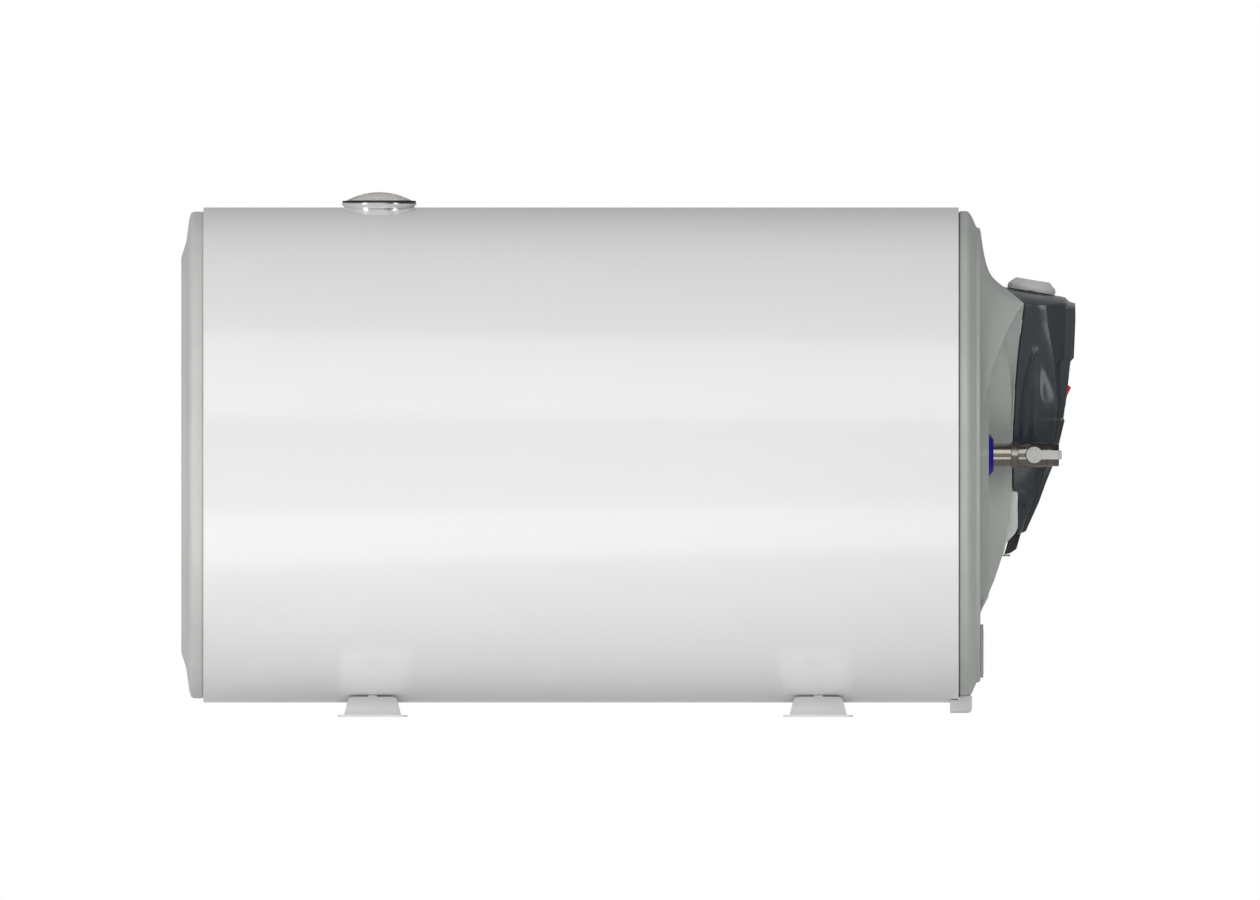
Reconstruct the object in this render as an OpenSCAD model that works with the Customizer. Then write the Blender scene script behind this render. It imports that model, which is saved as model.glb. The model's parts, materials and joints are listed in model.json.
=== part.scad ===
// Horizontal electric storage water heater.
// +X runs along the tank to the connection end, +Z points away from the mounting plane.
// The origin is the centre of the four bracket slots, on the mounting plane.

/* [Jacket] */
// Outside diameter of the painted steel jacket
jacket_d = 450; // [430:1:560]
// Length of the jacket, without the end caps
jacket_len = 687; // [560:1:840]
// Sheet thickness of the jacket
jacket_wall = 0.8; // [0.6:0.1:1.5]
// Gap between the jacket and the tank, filled with foam
foam_gap = 22.2; // [18:0.1:30]

/* [Brackets] */
// Distance between the two mounting brackets
bracket_pitch = 405; // [340:1:486]
// Gap between the jacket and the mounting plane
bracket_standoff = 13; // [11:0.5:16]
// Distance from the jacket's plain end to the nearer bracket
bracket_inset = 154; // [110:1:170]
// Width of a bracket's foot along the tank
bracket_w = 63.4; // [58:0.2:80]
// Length of a bracket across the tank
bracket_len = 250; // [220:1:310]
// Sheet thickness of a bracket
bracket_t = 1.8; // [1.5:0.1:2.4]
// Distance between the two slots of one bracket
slot_pitch = 200; // [170:1:205]
// Length of a slot, along the tank
slot_len = 18; // [14:1:22]
// Width of a slot
slot_w = 9; // [7:0.5:11]

/* [Tank] */
// Plate thickness of the tank
tank_wall = 2; // [1.8:0.1:3]
// Depth of a dished tank end
dish_depth = 62; // [50:1:80]
// Gap from the jacket's plain end to the tank end
tank_inset_plain = 18.5; // [14:0.5:26]
// Gap from the jacket's connection end to the tank end
tank_inset_service = 32.5; // [30:0.5:40]

/* [Flange] */
// Outside diameter of the flange plate
flange_d = 150; // [146:1:156]
// Thickness of the flange plate
flange_t = 5; // [4:0.5:8]
// Thickness of the rubber gasket
gasket_t = 3; // [2:0.5:4]
// Circle on which the flange studs stand
stud_pcd = 128; // [126:1:130]
// Diameter of a flange stud
stud_d = 8; // [6:1:8]
// Length of the heating element inside the tank
element_len = 230; // [160:5:320]
// Length of the sacrificial anode
anode_len = 230; // [150:5:300]

/* [Water connections] */
// Distance between the cold and the hot pipe
pipe_pitch = 200; // [192:1:204]
// Outside diameter of a pipe, the size of a half-inch pipe thread
pipe_d = 20.96; // [20:0.01:22]
// Bore of a pipe
pipe_bore = 15.8; // [13:0.1:16.5]
// Length of pipe that stands out of the connection cap
pipe_out = 23.4; // [20:0.1:28]
// Outside diameter of a coloured collar
collar_d = 39; // [34:0.5:40]
// Diameter of the valve's ball
ball_d = 17; // [15:0.5:18]
// Flow opening in the valve's ball
port_d = 10; // [8:0.5:11]
// Length of the valve's lever from its axis
lever_len = 25; // [20:1:34]

/* [Connection cap] */
// Wall thickness of both moulded end caps
cap_wall = 2.2; // [1.8:0.1:2.8]
// Depth of the connection cap's flat face beyond the jacket
cap_depth = 19.5; // [18:0.5:24]
// Height of the flared horns above the cap's flat face
horn_rise = 39.5; // [30:0.5:42]
// Height of the pipe shelf above the cap's flat face
shelf_rise = 7.6; // [6:0.1:9]

/* [Control hood] */
// Wall thickness of the hood
hood_wall = 2.5; // [2:0.1:3]
// Half width of the hood at its widest
hood_half_w = 69; // [62:1:69]
// Tilt of the face that carries the knob
hood_tilt = 9.4; // [6:0.2:12]
// Diameter of the thermostat knob
knob_d = 44; // [38:1:46]
// Height of the thermostat knob
knob_h = 10.5; // [9:0.5:14]
// Diameter of the thermostat spindle
spindle_d = 6; // [5:0.5:6.5]
// Length of the rocker switch's button
rocker_len = 19.4; // [17:0.2:21]

/* [Thermometer] */
// Distance from the jacket's plain end to the thermometer
dial_inset = 160; // [120:1:200]
// Outside diameter of the thermometer's bezel
bezel_d = 67.8; // [62:0.2:76]
// Height of the clear lens above its seat
lens_rise = 7.8; // [6:0.2:10]

/* [Hidden] */
$fn = 200;
eps = 1;
// Clearances: a moving fit, a part that must stay clear, and a slip fit.
run_gap = 0.05;
free_gap = 0.4;
slip_gap = 0.1;

// Jacket and its frame
jacket_r = jacket_d / 2;
axis_z = bracket_standoff + jacket_r;
jacket_x0 = -bracket_pitch / 2 - bracket_inset;
jacket_x1 = jacket_x0 + jacket_len;
jacket_top = axis_z + jacket_r;
spigot_r = jacket_r - jacket_wall - slip_gap;
spigot_len = 12;

// Tank
tank_r = jacket_r - jacket_wall - foam_gap;
tank_x0 = jacket_x0 + tank_inset_plain;
tank_x1 = jacket_x1 - tank_inset_service;
barrel_x0 = tank_x0 + dish_depth;
barrel_x1 = tank_x1 - dish_depth;
foam_x1 = jacket_x1 - spigot_len - 0.5;

// Flange stack, from the tank's collar outwards
neck_bore = 100;
neck_wall = 5;
neck_r = neck_bore / 2 + neck_wall;
collar_t = 6;
collar_x0 = tank_x1;
gasket_x0 = collar_x0 + collar_t;
plate_x0 = gasket_x0 + gasket_t;
plate_x1 = plate_x0 + flange_t;
stud_count = 6;
stud_r = stud_d / 2;
nut_h = 6.5;
stud_out = 16;

// What the flange plate carries: distance of each from the tank's axis
leg_r = 4;
leg_y = 18;
leg_rows = [14, -16];
terminal_r = 2;
terminal_out = 14;
anode_r = 10.5;
anode_z = -37.5;
pocket_r = 6;
pocket_z = 36;
pocket_len = 250;
cutout_size = [24, 20, 22];
cutout_y = 25;
cutout_z = -2;
reset_travel = 1.5;

// Corner where the knob face meets the cap, from the middle of the cap's flat face
hood_dx = 17.8;
hood_dz = 153.4;

// Connection cap
face_x = jacket_x1 + cap_depth;
cap_r = jacket_r - 3.3;
plain_cap_r = jacket_r - 3.8;
plain_cap_depth = 19.9;
flare_r0 = cap_r - 17.7;
horn_angle = 29;
horn_r = (hood_dz - 17) / cos(horn_angle);
flare_run = flare_r0 - horn_r;
flare_end_angle = 85;
dip_rise = 15;
shelf_x = face_x + shelf_rise;
shelf_r = 128;
shelf_foot_r = 143;
pedestal_half_w = hood_half_w + 1;
pedestal_drop = 150;

// Half section of the pedestal's back: rise above the flat face, height above the axis
pedestal_line = [
  [0, -143.6], [12.7, -113.6], [19.7, -92.2], [24.8, -66.7], [27.4, -46.3],
  [28.4, -28.5], [28.7, 11], [32.5, 86.4], [34.2, 130]
];

hood_top_r = 210;
hood_front = [
  [31.9, -71.2], [36.9, -72.2], [40.8, -70.5], [45.3, -60.4], [52.9, -43.7],
  [59.3, -25.9], [65, -11.8], [71.4, 9.8], [77.5, 33], [82.5, 67.2], [85, 88.3],
  [86.4, 122.7], [86.1, 137.9], [79.9, 139.8], [76.9, 143.6]
];
hood_back = [
  [17.8, 137], [34.9, 137], pedestal_line[7], pedestal_line[6], pedestal_line[5],
  [28.3, -32.6], [33.8, -33], [33.8, -66.7]
];
// Shallow recess that the switch sits in
recess_depth = 2.5;
switch_recess = [
  hood_front[10] + [10, 0], hood_front[10], hood_front[10] - [recess_depth + 0.7, 3.7],
  hood_front[9] - [recess_depth, 0], hood_front[8] - [recess_depth - 0.5, -0.1],
  hood_front[8] - [1, 1.1], hood_front[8] + [15, -1.1]
];
switch_dz = 54.5;
switch_dx = 78.1;
switch_lean = 7;
knob_from_corner = 28.6;
hood_screw_y = 15;
hood_screw_dz = -50;
hood_screw_r = 1.9;
latch_dz = -41.5;

// Terminal block on the hood's base
block_x = face_x + 31.3;
block_t = 12;
block_pitch = 14;
socket_dz = -5;
socket_r = 2.6;
lead_r = 1.4;

// Cable gland
gland_dx = 29.3;
gland_dz = -80.3;
gland_tilt = 16;
gland_half_w = 8.5;
cable_r = 3.2;
pin_dz = -91.3;
pin_y = -6;
pin_r = 0.8;

// Knob face
knob_r = knob_d / 2;
knob_gap = 0.4;
spindle_r = spindle_d / 2;

// Rocker: pivot depth below the panel
rocker_half = rocker_len / 2;
rocker_w = 11;
pivot_depth = 3;
pivot_r = 1.2;
switch_wall = 1.3;

// Pipes and valve
pipe_r = pipe_d / 2;
pipe_y = pipe_pitch / 2;
pipe_x0 = tank_x1 - 20;
pipe_x1 = shelf_x + pipe_out;
collar_h = 4.3;
relief_x0 = face_x + shelf_rise + collar_h + 0.7;
relief_w = 2;
relief_depth = 1;
nut_w = 6.7;
nut_x0 = pipe_x1 - 3.1;
valve_x0 = pipe_x1 + 1.5;
ball_x = valve_x0 + ball_d / 2 + 8;
valve_joint_x = ball_x + ball_d / 2 + 2.7;
valve_x1 = valve_joint_x + 11.2;
valve_r = max(ball_d / 2 + 1.85, pipe_r - 0.13);
nut_bore_r = max(valve_r, pipe_r);
nut_flats = 2 * nut_bore_r + 3.24;
valve_belly_r = valve_r + 1.05;
valve_boss_r = 8.1;
valve_boss_y = valve_belly_r + 4.2;
outlet_r = pipe_r - 1.18;
outlet_depth = 10;
stem_r = 3;
lever_r = 7.4;
lever_w = 8.1;
lever_t = 2.4;
lever_gap = 0.6;
lever_skin = 0.6;
tongue_t = 3;
tongue_h = 2;

// Thermometer
dial_x = jacket_x0 + dial_inset;
bezel_r = bezel_d / 2;
cup_r = bezel_r - 6.4;
lens_r = bezel_r - 3.9;
lens_seat = 6.1;
gasket_seat = 4.5;
dial_seat = 3.4;
needle_z = 5;
needle_len = lens_r - 6;
needle_pin_r = 1;
dial_r = lens_r - 1.5;
bezel_skirt = 8;

// Brackets
hat_h = bracket_standoff + 5.4;
hat_half_len = 62;
boss_angle = 8;
boss_r = 9;
bolt_r = 4;
bolt_head_h = 5.3;
spacer_w = 20;
spacer_drop = 9.5;
spacer_half = 36;

// ---------- helpers ----------

function unit(v) = v / norm(v);

function reversed(p) = [for (i = [len(p) - 1 : -1 : 0]) p[i]];

// Turns [rise, height] pairs into X and Z on the connection end.
function on_face(p) = [for (q = p) [face_x + q[0], axis_z + q[1]]];

module rod_x(x0, x1, r, y = 0, z = axis_z) {
  translate([x0, y, z]) rotate([0, 90, 0]) cylinder(h = x1 - x0, r = r);
}

module tube_x(x0, x1, outer, inner, y = 0, z = axis_z) {
  difference() {
    rod_x(x0, x1, outer, y, z);
    rod_x(x0 - eps, x1 + eps, inner, y, z);
  }
}

// Turns a half section of [radius, X] points about the tank's axis.
module turned(section, y = 0) {
  translate([0, y, axis_z]) rotate([0, 90, 0]) rotate_extrude() polygon(section);
}

// Extrudes an [X, Z] outline across the tank.
module across(outline, width) {
  rotate([90, 0, 0]) linear_extrude(height = width, center = true) polygon(outline);
}

// Extrudes a [Y, Z] outline along the tank.
module lengthwise(outline, x0, x1) {
  translate([x0, 0, 0]) rotate([90, 0, 90]) linear_extrude(height = x1 - x0) polygon(outline);
}

module hex_x(x0, x1, across_flats, y, z) {
  translate([x0, y, z]) rotate([0, 90, 0]) rotate([0, 0, 30])
    cylinder(h = x1 - x0, r = across_flats / sqrt(3), $fn = 6);
}

module box(low, high) {
  translate(low) cube(high - low);
}

module on_stud_circle() {
  for (i = [0 : stud_count - 1])
    translate([0, 0, axis_z]) rotate([(i + 0.5) * 360 / stud_count, 0, 0])
      translate([0, stud_pcd / 2, -axis_z]) children();
}

// ---------- jacket, foam and end caps ----------

module jacket_holes() {
  translate([dial_x, 0, axis_z]) cylinder(h = jacket_d, r = cup_r + slip_gap);
  bracket_bolt_places() cylinder(h = 60, r = bolt_r + slip_gap);
}

module jacket() {
  color("white") difference() {
    tube_x(jacket_x0, jacket_x1, jacket_r, jacket_r - jacket_wall);
    jacket_holes();
  }
}

function plain_cap_section(i) = [
  [0, jacket_x0 - plain_cap_depth + i],
  [plain_cap_r - 41.6 - i * 0.3, jacket_x0 - plain_cap_depth + i],
  [plain_cap_r - 27.2 - i * 0.3, jacket_x0 - 15.3 + i],
  [plain_cap_r - 3.3 - i, jacket_x0 - 11.8 + i],
  [plain_cap_r - 1 - i, jacket_x0 - 10.6 + i],
  [plain_cap_r - i, jacket_x0 - 8],
  [plain_cap_r - i, jacket_x0]
];

module plain_end_cap() {
  color("lightgray") turned(concat(
    plain_cap_section(0),
    [[spigot_r, jacket_x0], [spigot_r, jacket_x0 + spigot_len]],
    [[plain_cap_r - cap_wall, jacket_x0 + spigot_len]],
    reversed(plain_cap_section(cap_wall))
  ));
}

function cap_rim(i) = [
  [0, face_x - i],
  [flare_r0 - i, face_x - i],
  [cap_r - 15.5 - i, face_x - 0.7 - i],
  [cap_r - 14.8 - i, jacket_x1 + 15.9 - i],
  [cap_r - 5.4 - i, jacket_x1 + 11.8 - i],
  [cap_r - 1.6 - i, jacket_x1 + 9.4 - i],
  [cap_r - i, jacket_x1 + 7 - i]
];

// Rise of the flare at a share t of its run, as a share of its crest.
function flare_share(t) = 0.45 * t + 0.55 * pow(t, 6);

function horn_share(a) = pow((flare_end_angle - a) / (flare_end_angle - horn_angle), 1.5);

module flare_ring(i) {
  steps = 16;
  last = i > 0 ? 0.9 : 1;
  turned(concat(
    [[flare_r0 - i, face_x - 6]],
    [for (k = [0 : steps]) let (t = last * k / steps)
      [flare_r0 - flare_run * t - i, face_x - i + horn_rise * flare_share(t)]],
    [[horn_r + i, face_x - i + horn_rise * (i > 0 ? 0.86 : 1)], [horn_r + i, face_x - 6]]
  ));
}

// What the flare is cut back to: a crest that falls towards the sides.
module crest_limit(i) {
  steps = 14;
  crest = [for (k = [0 : steps]) let (a = flare_end_angle + (horn_angle - flare_end_angle) * k / steps)
    [face_x + horn_rise * horn_share(a) - i, axis_z + horn_r * cos(a)]];
  across(concat([[face_x - 8, axis_z + horn_r * cos(flare_end_angle)]], crest,
    [[face_x + horn_rise - i, axis_z + cap_r], [face_x - 8, axis_z + cap_r]]), 2 * cap_r);
}

// The saddle between the two horns, where the knob face comes through.
module dip_limit(i) {
  steps = 8;
  reach = horn_r * sin(horn_angle);
  dip = [for (k = [-steps : steps]) let (s = k / steps)
    [face_x + dip_rise + (horn_rise - dip_rise) * s * s - i, reach * s]];
  translate([0, 0, axis_z]) linear_extrude(height = cap_r)
    polygon(concat([[face_x - 8, -cap_r], [face_x + horn_rise, -cap_r]], dip,
      [[face_x + horn_rise, cap_r], [face_x - 8, cap_r]]));
}

module flare(i) {
  intersection() {
    flare_ring(i);
    crest_limit(i);
    dip_limit(i);
  }
}

function pedestal_outline(i) = let (w = pedestal_half_w - i, h = pedestal_drop - i, steps = 12) concat(
  [[w + 4, axis_z + 134 - i], [-w - 4, axis_z + 134 - i]],
  [for (k = [0 : 2 * steps]) let (a = 180 + 90 * k / steps) [w * cos(a), axis_z + h * sin(a)]]
);

module pedestal(i) {
  line = [for (p = pedestal_line) [p[0] - i, p[1]]];
  intersection() {
    across(on_face(concat([[-8, -143.6]], line, [[34.2 - i, 140], [-8, 140]])), 200);
    lengthwise(pedestal_outline(i), face_x - 8, face_x + 60);
  }
}

module shelf(i) {
  turned([[0, face_x - 6], [shelf_foot_r - i, face_x - 6], [shelf_foot_r - i, face_x - i],
    [shelf_r - i, shelf_x - i], [0, shelf_x - i]]);
}

module service_window() {
  box([face_x + 10, -38, axis_z - 28], [face_x + 60, 38, axis_z + 104]);
}

module connection_cap() {
  color("silver") difference() {
    union() {
      turned(concat([[0, jacket_x1]], cap_rim(0), [[cap_r, jacket_x1]]));
      rod_x(jacket_x1 - spigot_len, jacket_x1, spigot_r);
      shelf(0);
      pedestal(0);
      flare(0);
    }
    turned(concat([[0, jacket_x1 - spigot_len - eps]], cap_rim(cap_wall),
      [[cap_r - cap_wall, jacket_x1 - spigot_len - eps]]));
    shelf(cap_wall);
    pedestal(cap_wall);
    flare(cap_wall);
    for (s = [-1, 1]) rod_x(face_x - 20, face_x + 20, pipe_r + 1.5, s * pipe_y);
    service_window();
    hood_space();
    gland_pin_hole();
  }
}

module foam_core() {
  rod_x(jacket_x0 + spigot_len + 0.5, foam_x1, jacket_r - jacket_wall);
  rod_x(jacket_x0, jacket_x0 + spigot_len + 1, plain_cap_r - cap_wall - 0.2);
}

module insulation_foam() {
  color("khaki") difference() {
    foam_core();
    tank_solid(0);
    rod_x(barrel_x1, foam_x1 + eps, flange_d / 2 + 10);
    for (s = [-1, 1]) rod_x(barrel_x1, foam_x1 + eps, pipe_r, s * pipe_y);
    translate([dial_x, 0, jacket_top - 12]) cylinder(h = 30, r = cup_r);
    translate([dial_x, 0, jacket_top - foam_gap - 10]) cylinder(h = 60, r = 4);
    bracket_bolt_places() cylinder(h = 60, r = boss_r);
  }
}

// ---------- tank ----------

function dish_section(i) = [
  for (k = [0 : 16]) let (a = 90 * k / 16) [(tank_r - i) * cos(a), (dish_depth - i) * sin(a)]
];

function plain_dish(i) = [for (p = dish_section(i)) [max(p[0], 0), barrel_x0 - p[1]]];
function service_dish(i) = [for (p = dish_section(i)) [max(p[0], 0), barrel_x1 + p[1]]];

module tank_solid(i) {
  turned(concat(service_dish(i), reversed(plain_dish(i))));
}

module tank_barrel() {
  color("slategray") tube_x(barrel_x0, barrel_x1, tank_r, tank_r - tank_wall);
}

module tank_plain_head() {
  color("slategray") turned(concat(plain_dish(0), reversed(plain_dish(tank_wall))));
}

module tank_service_head() {
  color("slategray") difference() {
    turned(concat(service_dish(0), reversed(service_dish(tank_wall))));
    rod_x(barrel_x1, tank_x1 + eps, neck_r);
    for (s = [-1, 1]) rod_x(barrel_x1, tank_x1 + eps, pipe_r, s * pipe_y);
  }
}

// ---------- flange and what it carries ----------

module flange_neck() {
  color("slategray") difference() {
    union() {
      rod_x(collar_x0 - 18, collar_x0 + collar_t, neck_r);
      rod_x(collar_x0, collar_x0 + collar_t, flange_d / 2);
    }
    rod_x(collar_x0 - 20, collar_x0 + 20, neck_bore / 2);
  }
}

module flange_studs() {
  color("gray") on_stud_circle() rod_x(gasket_x0, gasket_x0 + gasket_t + flange_t + stud_out, stud_r, 0);
}

module flange_gasket() {
  color("dimgray") difference() {
    tube_x(gasket_x0, plate_x0, flange_d / 2 - 1, neck_bore / 2 - 1.5);
    on_stud_circle() rod_x(gasket_x0 - eps, plate_x0 + eps, stud_r + 0.3, 0);
  }
}

module at_legs() {
  for (z = leg_rows) for (s = [-1, 1]) translate([0, s * leg_y, z]) children();
}

module flange_plate() {
  color("darkgray") difference() {
    rod_x(plate_x0, plate_x1, flange_d / 2);
    on_stud_circle() rod_x(plate_x0 - eps, plate_x1 + eps, stud_r + 0.3, 0);
    at_legs() rod_x(plate_x0 - eps, plate_x1 + eps, leg_r);
    rod_x(plate_x0 - eps, plate_x1 + eps, stud_r, 0, axis_z + anode_z);
    rod_x(plate_x0 - eps, plate_x1 + eps, pocket_r, 0, axis_z + pocket_z);
  }
}

module flange_nuts() {
  color("silver") on_stud_circle() difference() {
    hex_x(plate_x1, plate_x1 + nut_h, 13, 0, axis_z);
    rod_x(plate_x1 - eps, plate_x1 + nut_h + eps, stud_r, 0);
  }
}

// One hairpin: two straight legs joined by a half turn inside the tank.
module hairpin(z) {
  bend_x = plate_x1 - element_len;
  for (s = [-1, 1]) rod_x(bend_x, plate_x1 + 3, leg_r, s * leg_y, axis_z + z);
  translate([bend_x, 0, axis_z + z]) rotate([0, 0, 90]) rotate_extrude(angle = 180)
    translate([leg_y, 0]) circle(r = leg_r);
}

module heating_element() {
  color("peru") for (z = leg_rows) hairpin(z);
}

module element_terminals() {
  color("gold") at_legs() rod_x(plate_x1 + 3, plate_x1 + 3 + terminal_out, terminal_r);
}

module anode_rod() {
  color("lightslategray") {
    rod_x(plate_x0 - anode_len, plate_x0, anode_r, 0, axis_z + anode_z);
    rod_x(plate_x0, plate_x1 + 14, stud_r, 0, axis_z + anode_z);
  }
}

module anode_nut() {
  color("silver") difference() {
    hex_x(plate_x1, plate_x1 + nut_h, 13, 0, axis_z + anode_z);
    rod_x(plate_x1 - eps, plate_x1 + nut_h + eps, stud_r, 0, axis_z + anode_z);
  }
}

module thermostat_pocket() {
  color("rosybrown") difference() {
    rod_x(plate_x1 - pocket_len, plate_x1 + 4, pocket_r, 0, axis_z + pocket_z);
    rod_x(plate_x1 - pocket_len + 1, plate_x1 + 5, pocket_r - 1, 0, axis_z + pocket_z);
  }
}

// The sensing bulb rests in the pocket's far end.
module thermostat_bulb() {
  color("goldenrod") rod_x(plate_x1 - pocket_len + 2, plate_x1 - pocket_len + 92, 3,
    0, axis_z + pocket_z - (pocket_r - 1 - 3));
}

module safety_cutout() {
  x0 = plate_x1;
  x1 = plate_x1 + cutout_size[0];
  color("wheat") difference() {
    box([x0, cutout_y, axis_z + cutout_z - cutout_size[2] / 2],
      [x1, cutout_y + cutout_size[1], axis_z + cutout_z + cutout_size[2] / 2]);
    rod_x(x1 - 8, x1 + eps, 2.5 + run_gap, cutout_y + cutout_size[1] / 2, axis_z + cutout_z);
  }
}

module reset_button() {
  x1 = plate_x1 + cutout_size[0];
  color("red") rod_x(x1 - 8 + reset_travel + free_gap, x1 + 3, 2.5,
    cutout_y + cutout_size[1] / 2, axis_z + cutout_z);
}

// ---------- pipes ----------

module pipe(y) {
  tube_x(pipe_x0, pipe_x1, pipe_r, pipe_bore / 2, y);
}

module cold_pipe() {
  color("tan") pipe(-pipe_y);
}

module hot_pipe() {
  color("tan") difference() {
    pipe(pipe_y);
    tube_x(relief_x0, relief_x0 + relief_w, pipe_r + 1, pipe_r - relief_depth, pipe_y);
  }
}

// A cap with side slots, so that cold water spreads along the tank's floor.
module cold_diffuser() {
  cup_x0 = pipe_x0 - 18;
  color("beige") difference() {
    rod_x(cup_x0, pipe_x0 + 6, pipe_r + 2.2, -pipe_y);
    rod_x(pipe_x0, pipe_x0 + 7, pipe_r, -pipe_y);
    rod_x(cup_x0 + 2, pipe_x0 + 1, pipe_r - 1, -pipe_y);
    for (a = [0 : 60 : 120]) translate([cup_x0 + 5, -pipe_y, axis_z]) rotate([a, 0, 0])
      box([0, -20, -2], [9, 20, 2]);
  }
}

module hot_dip_tube() {
  color("whitesmoke") tube_x(tank_x0 + 22, pipe_x0 + 20, pipe_bore / 2, pipe_bore / 2 - 1, pipe_y);
}

module collar(y) {
  inner = pipe_r + slip_gap;
  outer = collar_d / 2;
  translate([shelf_x, 0, 0]) turned([[inner, 0], [outer, 0], [outer - 1.2, 1], [outer - 3.4, 3],
    [outer - 5.3, collar_h], [inner, collar_h]], y);
}

module cold_collar() {
  color("mediumblue") collar(-pipe_y);
}

module hot_collar() {
  color("firebrick") collar(pipe_y);
}

// ---------- shut-off valve on the cold pipe ----------

module valve_union_nut() {
  color("silver") difference() {
    hex_x(nut_x0, nut_x0 + nut_w, nut_flats, -pipe_y, axis_z);
    rod_x(nut_x0 - eps, nut_x0 + nut_w + eps, nut_bore_r, -pipe_y);
  }
}

module valve_washer() {
  color("black") tube_x(pipe_x1, valve_x0, pipe_r - 0.24, pipe_bore / 2 - 0.5, -pipe_y);
}

// The room inside the valve for the ball and its two seats.
module ball_chamber() {
  rod_x(ball_x - ball_d / 2 - 0.5, valve_joint_x + eps, ball_d / 2 + free_gap / 2, -pipe_y);
}

module valve_body() {
  belly_half = ball_d / 2 + 2;
  color("silver") difference() {
    union() {
      rod_x(valve_x0, valve_joint_x, valve_r, -pipe_y);
      turned([[0, ball_x - belly_half], [valve_r, ball_x - belly_half], [valve_belly_r, ball_x - 4],
        [valve_belly_r, ball_x + 4], [valve_r, ball_x + belly_half], [0, ball_x + belly_half]], -pipe_y);
      translate([ball_x, -pipe_y, axis_z]) rotate([90, 0, 0]) cylinder(h = valve_boss_y, r = valve_boss_r);
    }
    rod_x(valve_x0 - eps, valve_joint_x, port_d / 2, -pipe_y);
    ball_chamber();
    translate([ball_x, -pipe_y, axis_z]) rotate([90, 0, 0])
      cylinder(h = valve_boss_y + eps, r = stem_r + run_gap);
  }
}

module valve_end() {
  insert_x0 = ball_x + ball_d / 2 + 0.5;
  color("silver") difference() {
    union() {
      rod_x(insert_x0, valve_joint_x, ball_d / 2 + free_gap / 2, -pipe_y);
      rod_x(valve_joint_x, valve_x1 - 0.5, valve_r, -pipe_y);
      translate([valve_x1 - 0.5, -pipe_y, axis_z]) rotate([0, 90, 0])
        cylinder(h = 0.5, r1 = valve_r, r2 = valve_r - 0.5);
    }
    rod_x(insert_x0 - eps, valve_x1 + eps, port_d / 2, -pipe_y);
    rod_x(valve_x1 - outlet_depth, valve_x1 + eps, outlet_r, -pipe_y);
  }
}

// Two sealing rings, each hollowed to the ball.
module valve_seats() {
  color("white") translate([ball_x, -pipe_y, axis_z]) rotate([0, 90, 0]) for (s = [-1, 1])
    rotate_extrude() difference() {
      translate([port_d / 2, s * (ball_d / 2 - 1.25) - 1.75]) square([(ball_d + free_gap - port_d) / 2, 3.5]);
      circle(r = ball_d / 2 + run_gap);
    }
}

// The ball's bore lies along the pipe when the valve is open; its slot takes the stem's tongue.
module valve_ball() {
  color("gainsboro") difference() {
    translate([ball_x, -pipe_y, axis_z]) rotate([0, 90, 0]) rotate_extrude() difference() {
      circle(r = ball_d / 2);
      translate([port_d / 2 - 3 * ball_d, -ball_d]) square([3 * ball_d, 2 * ball_d]);
    }
    box([ball_x - 10, -pipe_y - ball_d / 2 - eps, axis_z - tongue_t / 2],
      [ball_x + 10, -pipe_y - ball_d / 2 + tongue_h, axis_z + tongue_t / 2]);
  }
}

module valve_stem() {
  foot_y = ball_d / 2 + 0.3;
  color("silver") {
    translate([ball_x, -pipe_y - foot_y, axis_z]) rotate([90, 0, 0])
      cylinder(h = valve_boss_y + lever_gap + lever_t - lever_skin - foot_y, r = stem_r);
    intersection() {
      translate([ball_x, -pipe_y - ball_d / 2 + tongue_h, axis_z]) rotate([90, 0, 0])
        cylinder(h = tongue_h + 0.6, r = stem_r);
      box([ball_x - 5, -pipe_y - 20, axis_z - tongue_t / 2], [ball_x + 5, -pipe_y, axis_z + tongue_t / 2]);
    }
  }
}

// A flat lever with a round head and a small turned-up tip.
module valve_lever() {
  y1 = -pipe_y - valve_boss_y - lever_gap;
  y0 = y1 - lever_t;
  color("lightgray") difference() {
    union() {
      translate([ball_x, y1, axis_z]) rotate([90, 0, 0]) cylinder(h = lever_t, r = lever_r);
      box([ball_x, y0, axis_z - lever_w / 2], [ball_x + lever_len, y1, axis_z + lever_w / 2]);
      box([ball_x + lever_len - 1.6, y0 - 2.4, axis_z - lever_w / 2],
        [ball_x + lever_len, y0, axis_z + lever_w / 2]);
    }
    translate([ball_x, y1 + eps, axis_z]) rotate([90, 0, 0])
      cylinder(h = lever_t - lever_skin + eps, r = stem_r);
  }
}

// ---------- control hood ----------

hood_corner = [face_x + hood_dx, axis_z + hood_dz];

function hood_side() = on_face(concat([[hood_dx, hood_dz]], hood_back, hood_front));

// The latches stand just inside the hood's side walls.
latch_y = hood_width(latch_dz - 8) - hood_wall - free_gap - 2;

// Half width of the hood at a height above the tank's axis.
function hood_width(dz) = let (s = max(0, (60 - dz) / 134))
  hood_half_w * sqrt(max(0.18, 1 - 0.82 * pow(s, 2.2)));

function hood_shield(i) = let (rows = [for (k = [0 : 16]) -76 + k * 14]) concat(
  [for (z = rows) [hood_width(z) - i, axis_z + z + (z == -76 ? i : 0)]],
  [for (z = reversed(rows)) [-(hood_width(z) - i), axis_z + z + (z == -76 ? i : 0)]]
);

// Plan of the hood: two side lobes and a narrower spine.
function hood_plan(i) = let (w = hood_half_w) [
  [face_x + 10, -w - 4], [face_x + 46, -w - 4 + i], [face_x + 58 - i, -w + 5 + i],
  [face_x + 64 - i, -w + 15 + i], [face_x + 80 - i, -w + 19 + i], [face_x + 88 - i, -w + 25 + i],
  [face_x + 88 - i, w - 25 - i], [face_x + 80 - i, w - 19 - i], [face_x + 64 - i, w - 15 - i],
  [face_x + 58 - i, w - 5 - i], [face_x + 46, w + 4 - i], [face_x + 10, w + 4]
];

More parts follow.
